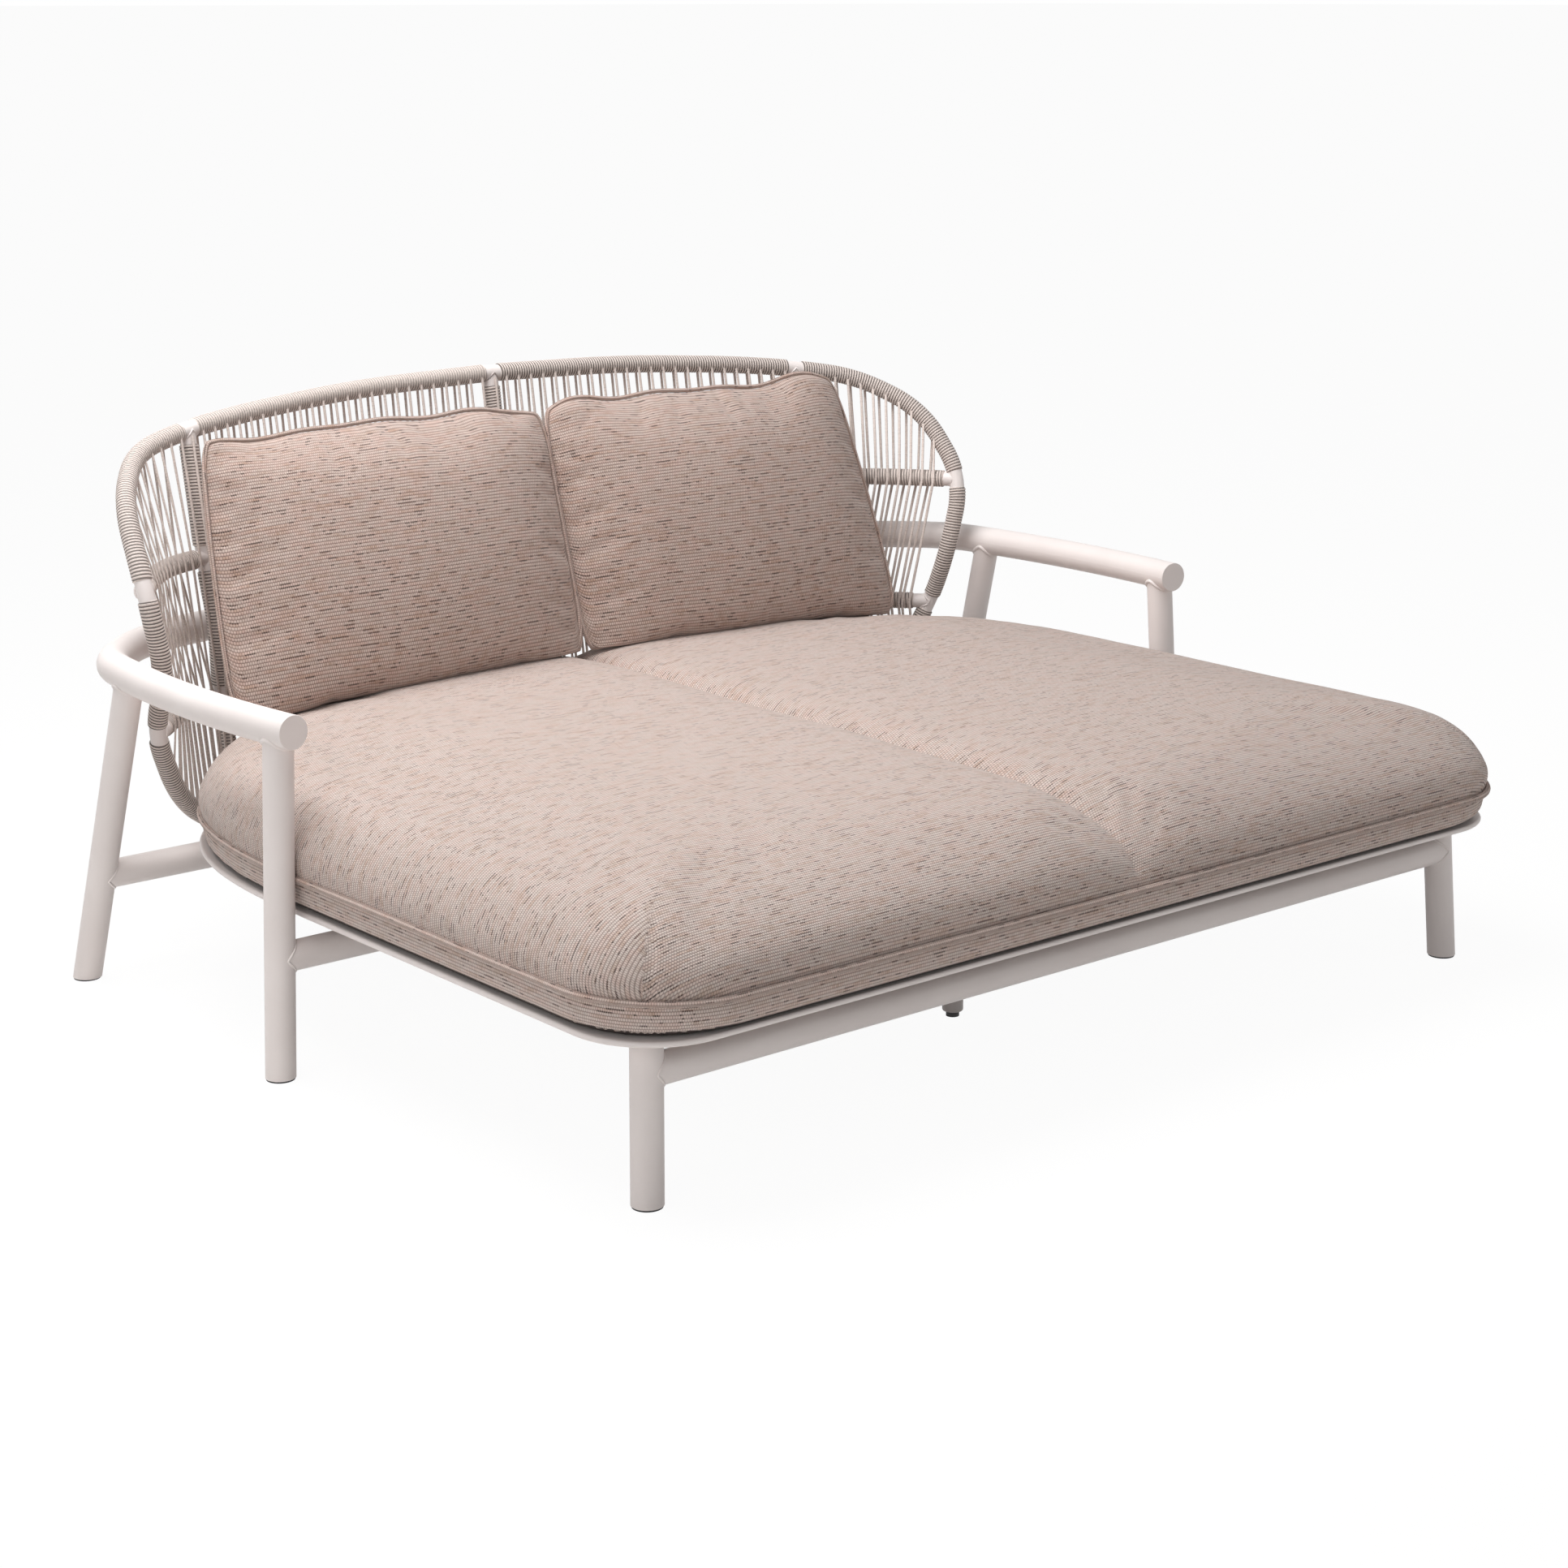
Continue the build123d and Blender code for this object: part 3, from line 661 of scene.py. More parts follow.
def wound_run(line, joints, bare, axis, seed):
    """The windings between joints on a line, each with a bare stretch at both of its ends."""
    stretches = enumerate(zip(joints, joints[1:]), seed)
    return [wound(line, a + bare, b - bare, axis, i) for i, (a, b) in stretches]


def rib_run(line, seed):
    crossings = [line.where(lambda p, z=z: p[:, 2] < z) for z in (mid_height, low_height)]
    return wound_run(line, [clear, *crossings, line.length - clear], bare_rail, side_axis, seed)


loop_joints = [0, top_rib, mid_on_loop, low_on_loop, low_rib, loop.length]
loop_run = wound_run(loop, loop_joints, bare_loop, depth_axis, 1)
cord_piece("wound_loop_top", with_mirrored(loop_run[:1]), "wrap_loop_top")
cord_piece("wound_loop_bottom", with_mirrored(loop_run[3:]), "wrap_loop_bottom")
rib_parts = rib_run(side_rib, 10)
for side_name in ("right", "left"):
    for kind, run in (("loop_side_", loop_run[1:3]), ("rib_", rib_parts)):
        parts = [mirrored(part) for part in run] if side_name == "left" else run
        cord_piece("wound_" + kind + side_name, parts, "wrap_" + kind + side_name)
cord_piece("wound_rib_centre", rib_run(centre_rib, 20), "wrap_rib_centre")
rail_runs = {"mid_rail": (mid_rail, mid_rib, clear), "low_rail": (low_rail, low_rail_rib, low_clear)}
for rail_name, (line, rib_at, room) in rail_runs.items():
    run = wound_run(line, [0, rib_at, line.length - room], bare_rail, up_axis, 30)
    cord_piece("wound_" + rail_name, with_mirrored(run), "wrap_" + rail_name)


# Upright strands, each along its CAD solid's four sections, with both ends under the loop's winding
oval_power, edge_shade = 0.8, 0.26


def flattened(waves):
    """Sines or cosines pulled outward, so that the circle which they make nears a rounded box."""
    return np.copysign(np.abs(waves) ** oval_power, waves)


def ribbon(path, widths, seed=0):
    """An oval cord along a path, its width direction given at each point."""
    path, widths = np.asarray(path, float), np.asarray(widths, float)
    heading = unit(np.gradient(path, axis=0))
    widths = unit(widths - heading * np.sum(widths * heading, axis=1, keepdims=True))
    depth = np.cross(heading, widths)
    ring_wide = cord_width / 2 * flattened(np.cos(ring_angles))
    ring_deep = cord_height / 2 * flattened(np.sin(ring_angles))
    points = path[:, None] + widths[:, None] * ring_wide[:, None] + depth[:, None] * ring_deep[:, None]
    size = len(ring_angles)
    grid = np.arange(len(path) * size).reshape(-1, size).T
    beside = np.roll(grid, -1, axis=0)
    faces = np.stack([grid[:, :-1], beside[:, :-1], beside[:, 1:], grid[:, 1:]], axis=-1).reshape(-1, 4)
    u = np.repeat(distances(path)[:, None], size, axis=1) + 37.0 * seed
    v = np.broadcast_to(cord_width * (0.5 + edge_shade * ring_deep / cord_height), u.shape)
    return in_metres(points, faces, u, v)


def sections_of(solid_points):
    """The middle and width direction of a CAD strand at its four levels, top first."""
    heights = solid_points[:, 2]
    found = []
    for level in (heights.max(), mid_height, low_height, heights.min()):
        ring = solid_points[np.abs(heights - level) < 0.6]
        corner = ring[0]
        reach = ring - corner
        size = np.linalg.norm(reach, axis=1)
        wide = reach[np.argmin(np.abs(size - cord_width))]
        wide /= np.linalg.norm(wide)
        found.append((ring.mean(axis=0), wide * (1 if wide[0] > 0 else -1)))
    return found


def solids_in(node):
    """The vertices of each separate solid in a CAD node, in millimetres."""
    mesh = nodes[node].data
    points = vertices_of(mesh) / mm
    keys = {}
    ids = np.array([keys.setdefault(tuple(p), len(keys)) for p in np.round(points, 2)])
    parent = list(range(len(keys)))

    def root(i):
        while parent[i] != i:
            parent[i] = parent[parent[i]]
            i = parent[i]
        return i

    for polygon in mesh.polygons:
        first = root(ids[polygon.vertices[0]])
        for vertex in polygon.vertices[1:]:
            parent[root(ids[vertex])] = first
    groups = {}
    for point, i in zip(points, ids):
        groups.setdefault(root(i), []).append(point)
    return [np.array(group) for group in groups.values()]


full_loop = Line(np.concatenate([loop.mirrored().points[::-1], loop.points[1:]]))


# A strand's gap from the winding, the rear layer's further gap, and how a strand's end turns in under it
strand_gap, rear_gap, tuck_turn, tuck_depth = 0.7, 1.6, 30, 3.4


def end_on_loop(section, side, top):
    """A short arc on the loop's tube under its winding, where a strand ends, and its width directions."""
    middle, wide = section
    front = np.cross(wide, (0, 0, 1.0))
    front *= 1 if front[1] < 0 else -1
    away = wrap_radius + strand_gap + cord_height / 2 + (0 if side > 0 else rear_gap)
    centre = middle - front * side * away
    at = full_loop.nearest(centre)
    heading = full_loop.heading(np.array(at))
    rise = np.cross(heading, front)
    rise *= 1 if rise[2] > 0 else -1
    rise *= 1 if top else -1
    centre = full_loop.at(np.array(at))
    inner = wrap_radius - tuck_depth
    angles = np.radians(np.linspace(tuck_turn, 0, 5))
    points = [centre + inner * (math.cos(a) * front * side + math.sin(a) * rise) for a in angles]
    return points, [heading * (1 if heading[0] > 0 else -1)] * len(points)


strand_drift = 0.5
drift_shares = (0.02, 0.05, 0.1, 0.3, 0.5, 0.7, 0.9, 0.95, 0.98)


def strand_part(solid, side_top, seed):
    """A strand from loop to loop, a little off the straight line between the rails."""
    levels = sections_of(solid)
    chance = random.Random(seed)
    points, widths = end_on_loop(levels[0], side_top, True)
    arc, arc_widths = end_on_loop(levels[-1], 1, False)
    levels[0] = (points[-1], levels[0][1])
    levels[-1] = (arc[-1], levels[-1][1])
    for (a, wide_a), (b, wide_b) in zip(levels, levels[1:]):
        lean = chance.uniform(-strand_drift, strand_drift)
        for share in drift_shares:
            drift = math.sin(math.pi * share) * lean
            points.append(a + (b - a) * share + wide_a * drift)
            widths.append(wide_a * (1 - share) + wide_b * share)
    points += arc[::-1]
    widths += arc_widths
    soft = np.array(points)
    soft[1:-1] = (soft[:-2] + 2 * soft[1:-1] + soft[2:]) / 4
    return ribbon(soft, widths, seed)


seed = 0
for kind, side_top in (("front", 1), ("front_side", 1), ("rear", -1), ("rear_side", -1)):
    for side_name in ("right", "left"):
        node = "strands_" + kind + "_" + side_name
        solids = solids_in(node)
        strands = [strand_part(solid, side_top, seed + i) for i, solid in enumerate(solids, 1)]
        cord_piece("cords_" + kind + "_" + side_name, strands, node)
        seed += len(solids)


# A cord down the front of each rib
rib_cord_end, rib_cord_gap = 9, 1.1


def rib_cord(line, seed):
    distance = np.linspace(rib_cord_end, line.length - rib_cord_end, 90)
    centre, heading = line.at(distance), line.heading(distance)
    wide = unit(np.array([1.0, 0, 0]) - heading * heading[:, :1])
    front = np.cross(heading, wide)
    front *= np.where(front[:, 1:2] < 0, 1, -1)
    return ribbon(centre + front * (wrap_radius + rib_cord_gap), wide, seed)


side_cord = rib_cord(side_rib, 91)
cord_piece("rib_cords", [side_cord, mirrored(side_cord), rib_cord(centre_rib, 92)])


# Weld beads where tubes meet, with the beads' radius at the legs, the beams and the backrest
leg_bead, beam_bead, back_bead = 3.6, 2.2, 1.8


def weld_part(start, way, radius, other, other_way, other_radius, bead):
    """A bead round the line where a tube's skin meets another tube's skin, found along each ray."""
    way, other_way = unit(np.array(way)), unit(np.array(other_way))
    first = unit(np.cross(way, (0, 0, 1.0) if abs(way[2]) < 0.8 else (1.0, 0, 0)))
    second = np.cross(way, first)
    ring = []
    for angle in np.linspace(0, 2 * math.pi, 48, endpoint=False):
        point = start + radius * (math.cos(angle) * first + math.sin(angle) * second)
        gap = point - other
        flat_way = way - other_way * way.dot(other_way)
        flat_gap = gap - other_way * gap.dot(other_way)
        a, b = flat_way.dot(flat_way), flat_way.dot(flat_gap)
        c = flat_gap.dot(flat_gap) - other_radius**2
        reach = (-b - math.sqrt(max(0.0, b * b - a * c))) / a
        ring.append(point + way * reach)
    ring = np.array(ring)
    heading = unit(np.roll(ring, -1, axis=0) - np.roll(ring, 1, axis=0))
    outward = unit(ring - start - way * ((ring - start) @ way)[:, None])
    points = tube_round(ring, outward, np.cross(heading, outward), bead)
    faces = [(a, d, c, b) for a, b, c, d in ring_quads(len(ring), len(ring_angles))]
    return in_metres(points, faces, *np.zeros((2, points.size // 3)))


def weld_to_line(start, way, radius, line, at, line_radius, bead):
    """A bead where a tube meets the tube on a line, at a distance along that line."""
    at = np.array(float(at))
    return weld_part(start, way, radius, line.at(at), line.heading(at), line_radius, bead)


# Each leg by its foot and by how far it leans for each unit of height
legs = {
    "front": ((872.6, -768.6), (-0.055, 0.063)),
    "arm": ((1000.3, -3.5), (-0.059, 0.032)),
    "rear": ((997.4, 638.8), (-0.059, -0.282)),
}
beam_height, leg_radius = 191.5, 24
# Where the rays that find a bead start: before a beam's end or up a leg, and back from a rail's or rib's end
ray_start, rail_ray, rib_ray = 300, 60, 50
bar_radius = back_tube / 2


def on_leg(leg, height):
    (x, y), (lean_x, lean_y) = legs[leg]
    return np.array((x + lean_x * height, y + lean_y * height, height))


welds = []
for leg, (_, lean) in legs.items():
    end = on_leg(leg, beam_height)
    start = end - (ray_start, 0, 0)
    welds.append(weld_part(start, (1, 0, 0), leg_radius, end, (*lean, 1), leg_radius, beam_bead))
for leg in ("arm", "rear"):
    at = arm.nearest(on_leg(leg, arm_height))
    low = on_leg(leg, ray_start)
    welds.append(weld_to_line(low, (*legs[leg][1], 1), leg_radius, arm, at, arm_tube / 2, leg_bead))
for line, at_end in ((mid_rail, mid_on_loop), (low_rail, low_on_loop)):
    near = np.array(line.length - rail_ray)
    way = line.heading(near)
    welds.append(weld_to_line(line.at(near), way, bar_radius, loop, at_end, bar_radius, back_bead))
for line, top, bottom in ((side_rib, top_rib, low_rib), (centre_rib, 0, loop.length)):
    for near, sense, at_end in ((rib_ray, -1, top), (line.length - rib_ray, 1, bottom)):
        near = np.array(float(near))
        way = line.heading(near) * sense
        at = full_loop.nearest(loop.at(np.array(float(at_end))))
        welds.append(weld_to_line(line.at(near), way, bar_radius, full_loop, at, bar_radius, back_bead))
points, faces, uvs = joined(with_mirrored(welds))
weld_beads = mesh_piece("weld_beads", points, faces, paint)
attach(weld_beads, "root")


# Mattress: its outline in plan at the seam, the round of its corners, and the height of the piping
half_width, seat_front, seat_back, corner, corner_ease = 957, -868.6, 697.4, 175, 0.25
piping_height, above_piping = 313, 318
# The outline's rear is one curve: where it starts on the side, and its pulls along the side and the back
curve_start, side_pull, back_pull = 0.57, 0.96, 0.7
columns = 420


def outline(inset):
    """The mattress in plan at an inset: evenly spaced points, anticlockwise from the middle of its front."""
    hw, front, back = half_width - inset, seat_front + inset, seat_back - inset
    depth = back - front
    c = corner - inset * corner_ease
    line = [Vector((0, front, 0)), Vector((hw - c, front, 0))]
    line += arc_points(line[-1], Vector((1, 0, 0)), Vector((hw, front + c, 0)))[0]
    start_y, pull_y = front + curve_start * depth, front + side_pull * depth
    curve = np.array([(hw, start_y), (hw, pull_y), (back_pull * hw, back), (0, back)])
    for t in np.linspace(0, 1, 240):
        share = np.array([(1 - t) ** 3, 3 * t * (1 - t) ** 2, 3 * t * t * (1 - t), t**3])
        line.append(Vector((*(share @ curve), 0)))
    half = Line(line)
    right = half.at(np.linspace(0, half.length, columns // 2 + 1))
    left = right[1:-1][::-1] * (-1, 1, 1)
    return np.concatenate([right, left])


# Rows of the mattress from its underside's edge over the piping to the top, each by its inset and height
front_rows = [
    (34, 258.9), (27, 261.5), (19, 266), (10, 273), (5, 286), (3, 301), (5, 312), (3, 318), (0, 326),
    (-2, 337), (0, 350), (5, 364), (16, 381), (36, 400), (60, 415), (90, 428), (130, 437.5),
    (190, 444.5), (260, 448.5), (340, 451), (430, 452.3),
]
side_rows = [
    (22, 258.9), (18, 261.5), (13, 266), (7, 273), (4, 286), (3, 301), (5, 312), (3, 318), (-1, 326),
    (-2.5, 337), (-0.5, 350), (4.5, 366), (11, 386), (24, 408), (42, 425), (66, 436), (96, 443.5),
    (140, 447.5), (200, 450), (290, 451.5), (400, 452.5),
]
widest_row = 9
insets = np.array([-6, -3, 0, 3, 6, 9, 12, 18, 24, 30, 42, 60, 80, 100, 130, 160, 200, 260, 340, 430])
rings = np.array([outline(i) for i in insets])
seam_line = rings[2]
seam_ways = np.roll(seam_line, -1, axis=0) - np.roll(seam_line, 1, axis=0)
out_ways = unit(np.stack([seam_ways[:, 1], -seam_ways[:, 0], np.zeros(columns)], axis=1))
# The front's rows pass into the side's ones round the corners, and the side's ones go on round the back
flank = smoothstep(np.abs(out_ways[:, 0]), 0.25, 0.85)
side_share = np.maximum(flank, out_ways[:, 1] > 0.2)


def ring_at(inset):
    """The outline at an inset given column by column."""
    return np.array([[np.interp(inset[i], insets, rings[:, i, k]) for k in range(3)] for i in range(columns)])


seat_rows = []
for (front_in, front_z), (side_in, side_z) in zip(front_rows, side_rows):
    row = ring_at(front_in + (side_in - front_in) * side_share)
    row[:, 2] = front_z + (side_z - front_z) * side_share
    seat_rows.append(row)
seat_points = np.concatenate(seat_rows)
seat_faces = ring_quads(len(seat_rows), columns, closed=False)
seat_faces.append(tuple(range(len(seat_points) - columns, len(seat_points))))
seat_faces.append(tuple(range(columns))[::-1])

mattress = mesh_piece("mattress_cover", seat_points * mm, seat_faces, seat_cloth)
remesh = mattress.modifiers.new("even_mesh", "REMESH")
remesh.mode = "VOXEL"
remesh.voxel_size = 0.013
apply_modifiers(mattress)
mattress.data.materials.clear()
mattress.data.materials.append(seat_cloth)


def blown(made, pinned, cap, pressure=4.0, growth=0.0, frames=20):
    """Cloth simulation with air pressure inside, applied to the mesh, no point moved further than its cap."""
    before = vertices_of(made.data)
    group = made.vertex_groups.new(name="sewn")
    group.add([int(i) for i in pinned], 1.0, "REPLACE")
    cloth = made.modifiers.new("cloth", "CLOTH")
    settings = cloth.settings
    settings.quality = 5
    settings.mass = 0.4
    settings.bending_stiffness = 0.8
    settings.use_pressure = True
    settings.uniform_pressure_force = pressure
    settings.shrink_min = -growth
    settings.vertex_group_mass = "sewn"
    settings.effector_weights.gravity = 0
    cloth.point_cache.frame_start = 1
    cloth.point_cache.frame_end = frames
    for step in range(1, frames + 1):
        scene.frame_set(step)
    after = vertices_of(evaluated_mesh(made))
    made.modifiers.clear()
    made.vertex_groups.clear()
    scene.frame_set(1)
    move = after - before
    size = np.linalg.norm(move, axis=1)
    limit = np.broadcast_to(cap, size.shape)
    soft = limit * np.tanh(size / np.maximum(limit, 1e-6))
    set_vertices(made.data, before + move * (soft / np.maximum(size, 1e-9))[:, None])


# The mattress starts a little low, is blown up between its seams and gets its middle fold
seat_cap, start_depth, sewn_width, sewn_height = 9.0, 5.0, 9, 322
fold_places, fold_depths = [-868, -800, -730, -640, -300, 500], [20, 28, 26, 23, 21, 19]
crease_width, hollow_width, crease_share = 30, 90, 0.6


def crease_shape(x):
    """Depth share of the middle fold at a distance across: a narrow crease in a wide hollow."""
    near = np.abs(x)
    crease = crease_share * np.exp(-((near / crease_width) ** 1.3))
    return crease + (1 - crease_share) * np.exp(-((near / hollow_width) ** 2))


def push_in(points, normal, depth):
    """Move points in along their normals, all but those that face down."""
    points -= normal * (depth * (normal[:, 2] > -0.3))[:, None]


start = vertices_of(mattress.data) / mm
normal = normals_of(mattress.data)
upper = smoothstep(start[:, 2], 330, 440)
fold_fade = smoothstep(start[:, 2], above_piping, 352)
start -= normal * (upper * start_depth)[:, None]
fold_depth = np.interp(start[:, 1], fold_places, fold_depths)
push_in(start, normal, fold_depth * crease_shape(start[:, 0]) * fold_fade)
set_vertices(mattress.data, start * mm)
sewn = (np.abs(start[:, 0]) < sewn_width) | (start[:, 2] < sewn_height)
blown(mattress, np.nonzero(sewn)[0], seat_cap * mm * np.clip(upper + 0.1, 0, 1))
subdivide(mattress, 1)


def rumple(points, seed, length, height):
    """Slow, seeded undulation made of crossed waves."""
    chance = np.random.default_rng(seed)
    total = np.zeros(len(points))
    for _ in range(7):
        way = unit(chance.normal(size=3))
        wave = length * chance.uniform(0.7, 1.6)
        total += np.sin(points @ way * (2 * math.pi / wave) + chance.uniform(0, 6.28)) / 7
    return total * height


def on_outline(points):
    """The number of the seam's nearest point in plan to each point."""
    found = np.empty(len(points), int)
    for low in range(0, len(points), 4000):
        block = points[low : low + 4000, None, :2] - seam_line[None, :, :2]
        found[low : low + 4000] = np.argmin((block**2).sum(axis=2), axis=1)
    return found


# The stitched fold line and the mitred corner seams: depths and widths, the mitre's width in degrees
stitch_depth, stitch_width, mitre_depth, mitre_width = 5.0, 6.0, 2.6, 2.2


def seam_depth(points):
    """Depth of the fold line's stitches and of the corner seams at each point."""
    height, ways = points[:, 2], out_ways[on_outline(points)]
    turn = np.degrees(np.arctan2(np.abs(ways[:, 0]), np.maximum(-ways[:, 1], 1e-6))) - 45
    stitch = stitch_depth * np.exp(-((points[:, 0] / stitch_width) ** 2))
    stitch *= smoothstep(height, above_piping, 350)
    fade = smoothstep(height, above_piping, 326) * smoothstep(446 - height, 0, 40) * (ways[:, 1] < 0)
    return stitch + mitre_depth * np.exp(-((turn / mitre_width) ** 2)) * fade


points = vertices_of(mattress.data) / mm
normal = normals_of(mattress.data)
lift = rumple(points, 5, 420, 2.4) + rumple(points, 6, 170, 0.9)
push_in(points, normal, -lift * smoothstep(points[:, 2], 320, 400))
push_in(points, normal, seam_depth(points))
set_vertices(mattress.data, points * mm)

# How far the cloth has run from the top at each height, to carry the weave over the edge
drape_heights = [262, 313, 337, 350, 364, 381, 400, 415, 428, 437, 444, 452]
drape_runs = [158, 104, 79, 66, 53, 38, 24, 14, 7, 3, 1, 0]
# Faces below this height take the dark cloth: painted shadow in the gap over the deck's rim
painted_shadow_height = 269


def dress_mattress(mesh):
    """UVs of the cover, down the front or the side, and along the band, and the dark cloth of painted shadow
    on the underside and the band's lowest strip.
    """
    nearest = on_outline(points)
    run = distances(seam_line)
    run = np.where(run > run[-1] / 2, run - run[-1], run)
    along = np.cross((0, 0, 1.0), out_ways[nearest])
    band_run = run[nearest] + np.sum((points - seam_line[nearest]) * along, axis=1)
    band = np.stack([band_run, points[:, 2]], axis=1)
    corner_vertex = read_out(mesh.loops, "vertex_index", int)
    sides = read_out(mesh.polygons, "loop_total", int)
    centres = read_out(mesh.polygons, "center", size=3)
    # Painted shadow: the faces low on the mattress take the dark cloth
    mesh.materials.append(painted_shadow_cloth)
    mesh.polygons.foreach_set("material_index", (centres[:, 2] < painted_shadow_height * mm).astype(np.int32))
    ways = out_ways[on_outline(centres / mm), :2]
    on_side = np.abs(ways[:, :1]) > np.abs(ways[:, 1:])
    down = np.sign(ways) * np.where(on_side, (1, 0), (0, 1))
    drape = np.interp(points[:, 2], drape_heights, drape_runs)
    cover = points[corner_vertex, :2] + np.repeat(down, sides, axis=0) * drape[corner_vertex, None]
    in_band = np.repeat(centres[:, 2] < piping_height * mm, sides)
    set_uvs(mesh, np.where(in_band[:, None], band[corner_vertex], cover) * mm)
    mesh.polygons.foreach_set("use_smooth", [True] * len(mesh.polygons))


dress_mattress(mattress.data)
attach(mattress, "root")
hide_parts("mattress")


# Piping
seat_piping_radius, back_piping_radius = 5.2, 4.2


def tube_part(path, radius, seed=0):
    """Points, faces and UVs of a closed tube along a path."""
    heading = unit(np.roll(path, -1, axis=0) - np.roll(path, 1, axis=0))
    side = unit(np.cross(heading, (0.13, 0.2, 1.0)))
    points = tube_round(path, side, np.cross(side, heading), radius)
    u = np.repeat(distances(path)[:, None], len(ring_angles), axis=1)
    v = np.broadcast_to(ring_angles[None] * radius, u.shape) + 11.0 * seed
    return in_metres(points, ring_quads(len(path), len(ring_angles)), u, v)


# The mattress's piping stands out at the front and lies in at the sides
edge = seam_line + out_ways * (2.6 - 3.6 * flank[:, None])
edge[:, 2] = piping_height + rumple(edge, 8, 500, 1.6)
points_round, faces, uvs = tube_part(edge, seat_piping_radius)
seat_piping = mesh_piece("mattress_piping", points_round, faces, band_cloth, uvs)
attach(seat_piping, "root")


# Back cushions: two panels sewn along a piped seam. The middle plane's corners, next to the other cushion
# and at the outer side
low_inner, low_outer = np.array((2, 547.6, 438)), np.array((755.5, 522.6, 426))
top_inner, top_outer = np.array((2, 678, 893)), np.array((708.5, 678, 893))
across, tall = 56, 38
corner_pull = 0.035
top_wave, top_sag, outer_bow, inner_bow = 5.0, 4, 6, 3
front_swell, back_swell, cushion_edge, front_sag = 86, 129.2, 5, 46
front_cap, back_cap = 20.0, 10.0
swell_places = [0, 0.05, 0.2, 0.5, 0.8, 0.95, 1]
swell_sizes = [0, 0.34, 0.8, 1, 0.8, 0.34, 0]
cover_width, cover_height, cover_gap = 750.0, 470.0, 40
# Half the gap between the cushions, and how they stand on the mattress and sink in towards their outer ends
half_gap, stand_gap, outer_sink, squash = 1.2, 1.5, 15.5, 0.08


def middle_plane(u, v, chance):
    """A cushion's middle plane, its corners pulled in and its top wavy, and the way up it."""
    a, b = 2 * u - 1, 2 * v - 1
    pull = corner_pull * np.abs(a) ** 7 * np.abs(b) ** 7
    s, t = (a * (1 - pull) + 1) / 2, (b * (1 - pull * 1.5) + 1) / 2
    low = low_inner + (low_outer - low_inner) * s[..., None]
    top = top_inner + (top_outer - top_inner) * s[..., None]
    flat = low + (top - low) * t[..., None]
    wave = 0
    for count in (1.4, 2.3, 3.9):
        wave = wave + np.sin(2 * math.pi * u * count + chance.uniform(0, 6.28)) * chance.uniform(0.4, 1.0)
    flat[..., 2] += wave * top_wave * v**6 - top_sag * v**6
    bow = np.sin(math.pi * v)
    flat[..., 0] += bow * outer_bow * u**6 - bow * inner_bow * (1 - u) ** 8
    return flat, top - low


def panels(u, v, flat, way):
    """The front and back panels, swollen away from the middle plane, the front one sagging low down."""
    back_way = unit(np.cross(way, (1.0, 0, 0)))
    back_way *= np.where(back_way[..., 1:2] > 0, 1, -1)
    arc = np.maximum(0, 4 * v * (1 - v))
    spread = np.interp(u, swell_places, swell_sizes)
    full = 0.4 * spread + 0.6 * np.sin(math.pi * u) ** 0.55
    edge_swell = cushion_edge / 2 * np.minimum(1, 8 * arc)
    ahead = edge_swell + front_swell * full * arc**0.5 * (1.14 - 0.36 * v)
    behind = edge_swell + back_swell * spread * arc
    front = flat - back_way * ahead[..., None]
    front[..., 2] -= front_sag * np.maximum(full, 0.8) * np.minimum(1, 4 * arc) ** 0.4 * (1 - v) ** 2.2
    return front, flat + back_way * behind[..., None]


def panel_faces(u, v, index, back_index, side):
    """Faces of both panels with UVs by face corner, turned over for the left cushion."""
    faces, uvs = [], []
    for r in range(tall):
        for c in range(across):
            ring = [(r, c), (r, c + 1), (r + 1, c + 1), (r + 1, c)]
            for numbers, sense, shift in ((index, side, 0), (back_index, -side, cover_height + cover_gap)):
                faces.append([int(numbers[p]) for p in ring[::sense]])
                uvs += [(u[p] * cover_width, v[p] * cover_height + shift) for p in ring[::sense]]
    return faces, np.array(uvs)


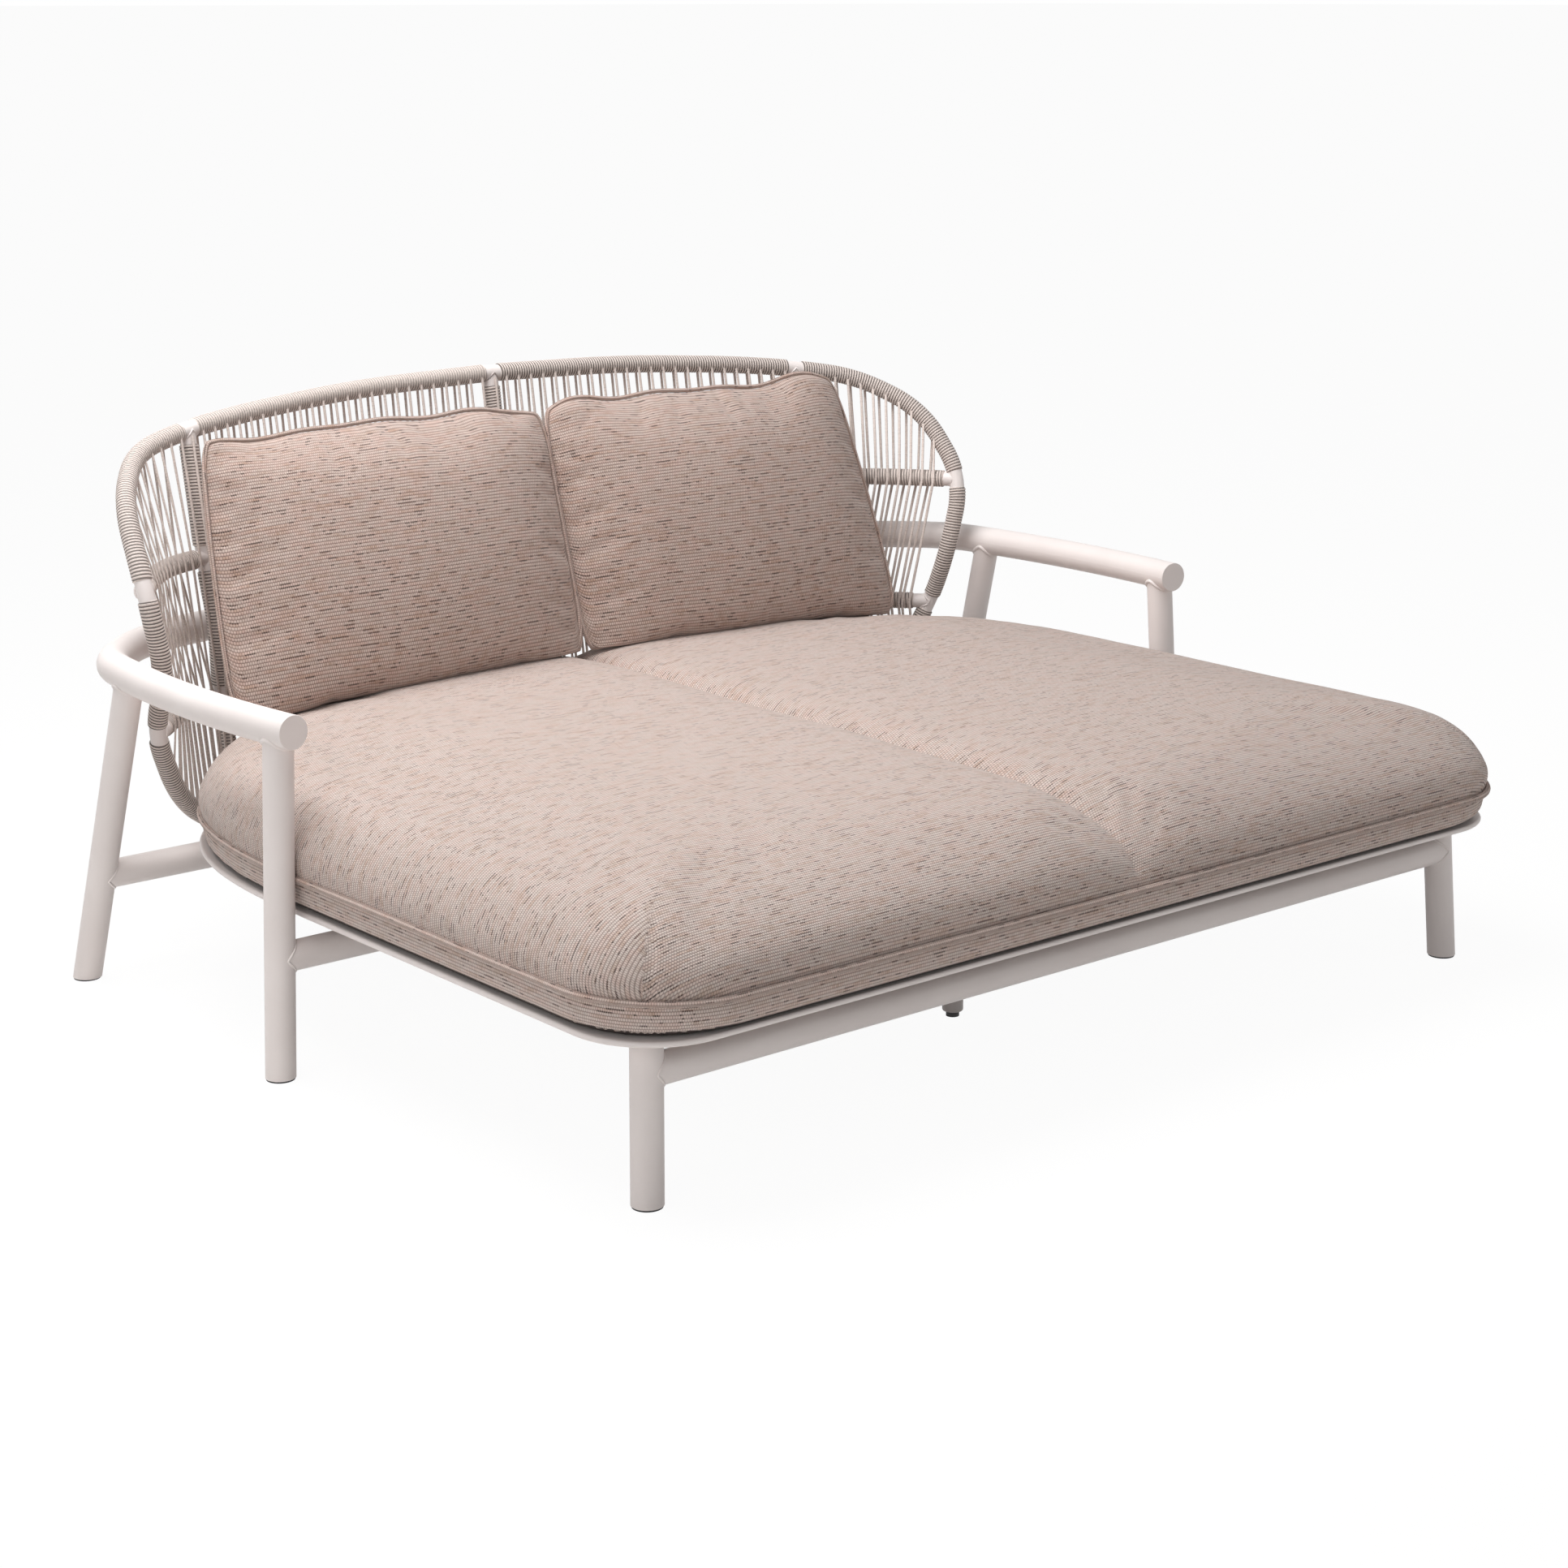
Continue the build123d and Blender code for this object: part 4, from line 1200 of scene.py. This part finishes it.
def seat_surface(points):
    """Height of the mattress's top under a point, for the cushions that stand on it."""
    inset = np.linalg.norm(points[:, :2] - seam_line[on_outline(points), :2], axis=1)
    return np.interp(inset, *zip(*side_rows[widest_row:]))


def settle(points, side):
    """Keep a cushion's points off the other cushion and on the mattress."""
    points[:, 0] = side * np.maximum(side * points[:, 0], half_gap)
    floor_z = seat_surface(points) + stand_gap - outer_sink * smoothstep(np.abs(points[:, 0]), 400, 690)
    low = points[:, 2] < floor_z
    points[low, 2] = floor_z[low] + squash * (points[low, 2] - floor_z[low])


def back_cushion(side, seed):
    """A back cushion with its piping, on the right or on the left."""
    u, v = np.meshgrid(np.linspace(0, 1, across + 1), np.linspace(0, 1, tall + 1))
    flat, way = middle_plane(u, v, np.random.default_rng(seed))
    front, back = panels(u, v, flat, way)
    inner = (u > 0) & (u < 1) & (v > 0) & (v < 1)
    index = np.arange(u.size).reshape(u.shape)
    back_index = index.copy()
    back_index[inner] = u.size + np.arange(inner.sum())
    rim = np.concatenate([index[0, :], index[1:-1, -1], index[-1, ::-1], index[1:-1, 0][::-1]])
    points = np.concatenate([np.where(inner[..., None], front, flat).reshape(-1, 3), back[inner]])
    points[:, 0] *= side
    faces, uvs = panel_faces(u, v, index, back_index, side)
    name = "right" if side > 0 else "left"
    made = mesh_piece("back_pillow_" + name, points * mm, faces, back_cloth, uvs * mm)
    caps = np.repeat([front_cap, back_cap], [u.size, inner.sum()])
    blown(made, rim, caps * mm, pressure=4.5, growth=0.02)
    settled = vertices_of(made.data) / mm
    free = np.ones(len(settled))
    free[rim] = 0
    settled += normals_of(made.data) * (rumple(settled, seed, 240, 3.0) * free)[:, None]
    settle(settled, side)
    set_vertices(made.data, settled * mm)
    subdivide(made, 2)
    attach(made, "root")
    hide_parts("back_cushion_" + name)
    seam = Line([*settled[rim], settled[rim[0]]])
    path = seam.at(np.linspace(0, seam.length, 380, endpoint=False))
    points, faces, uvs = tube_part(path, back_piping_radius, seed)
    piping = mesh_piece("back_piping_" + name, points, faces, back_cloth, uvs)
    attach(piping, "root")


back_cushion(1, 41)
back_cushion(-1, 57)
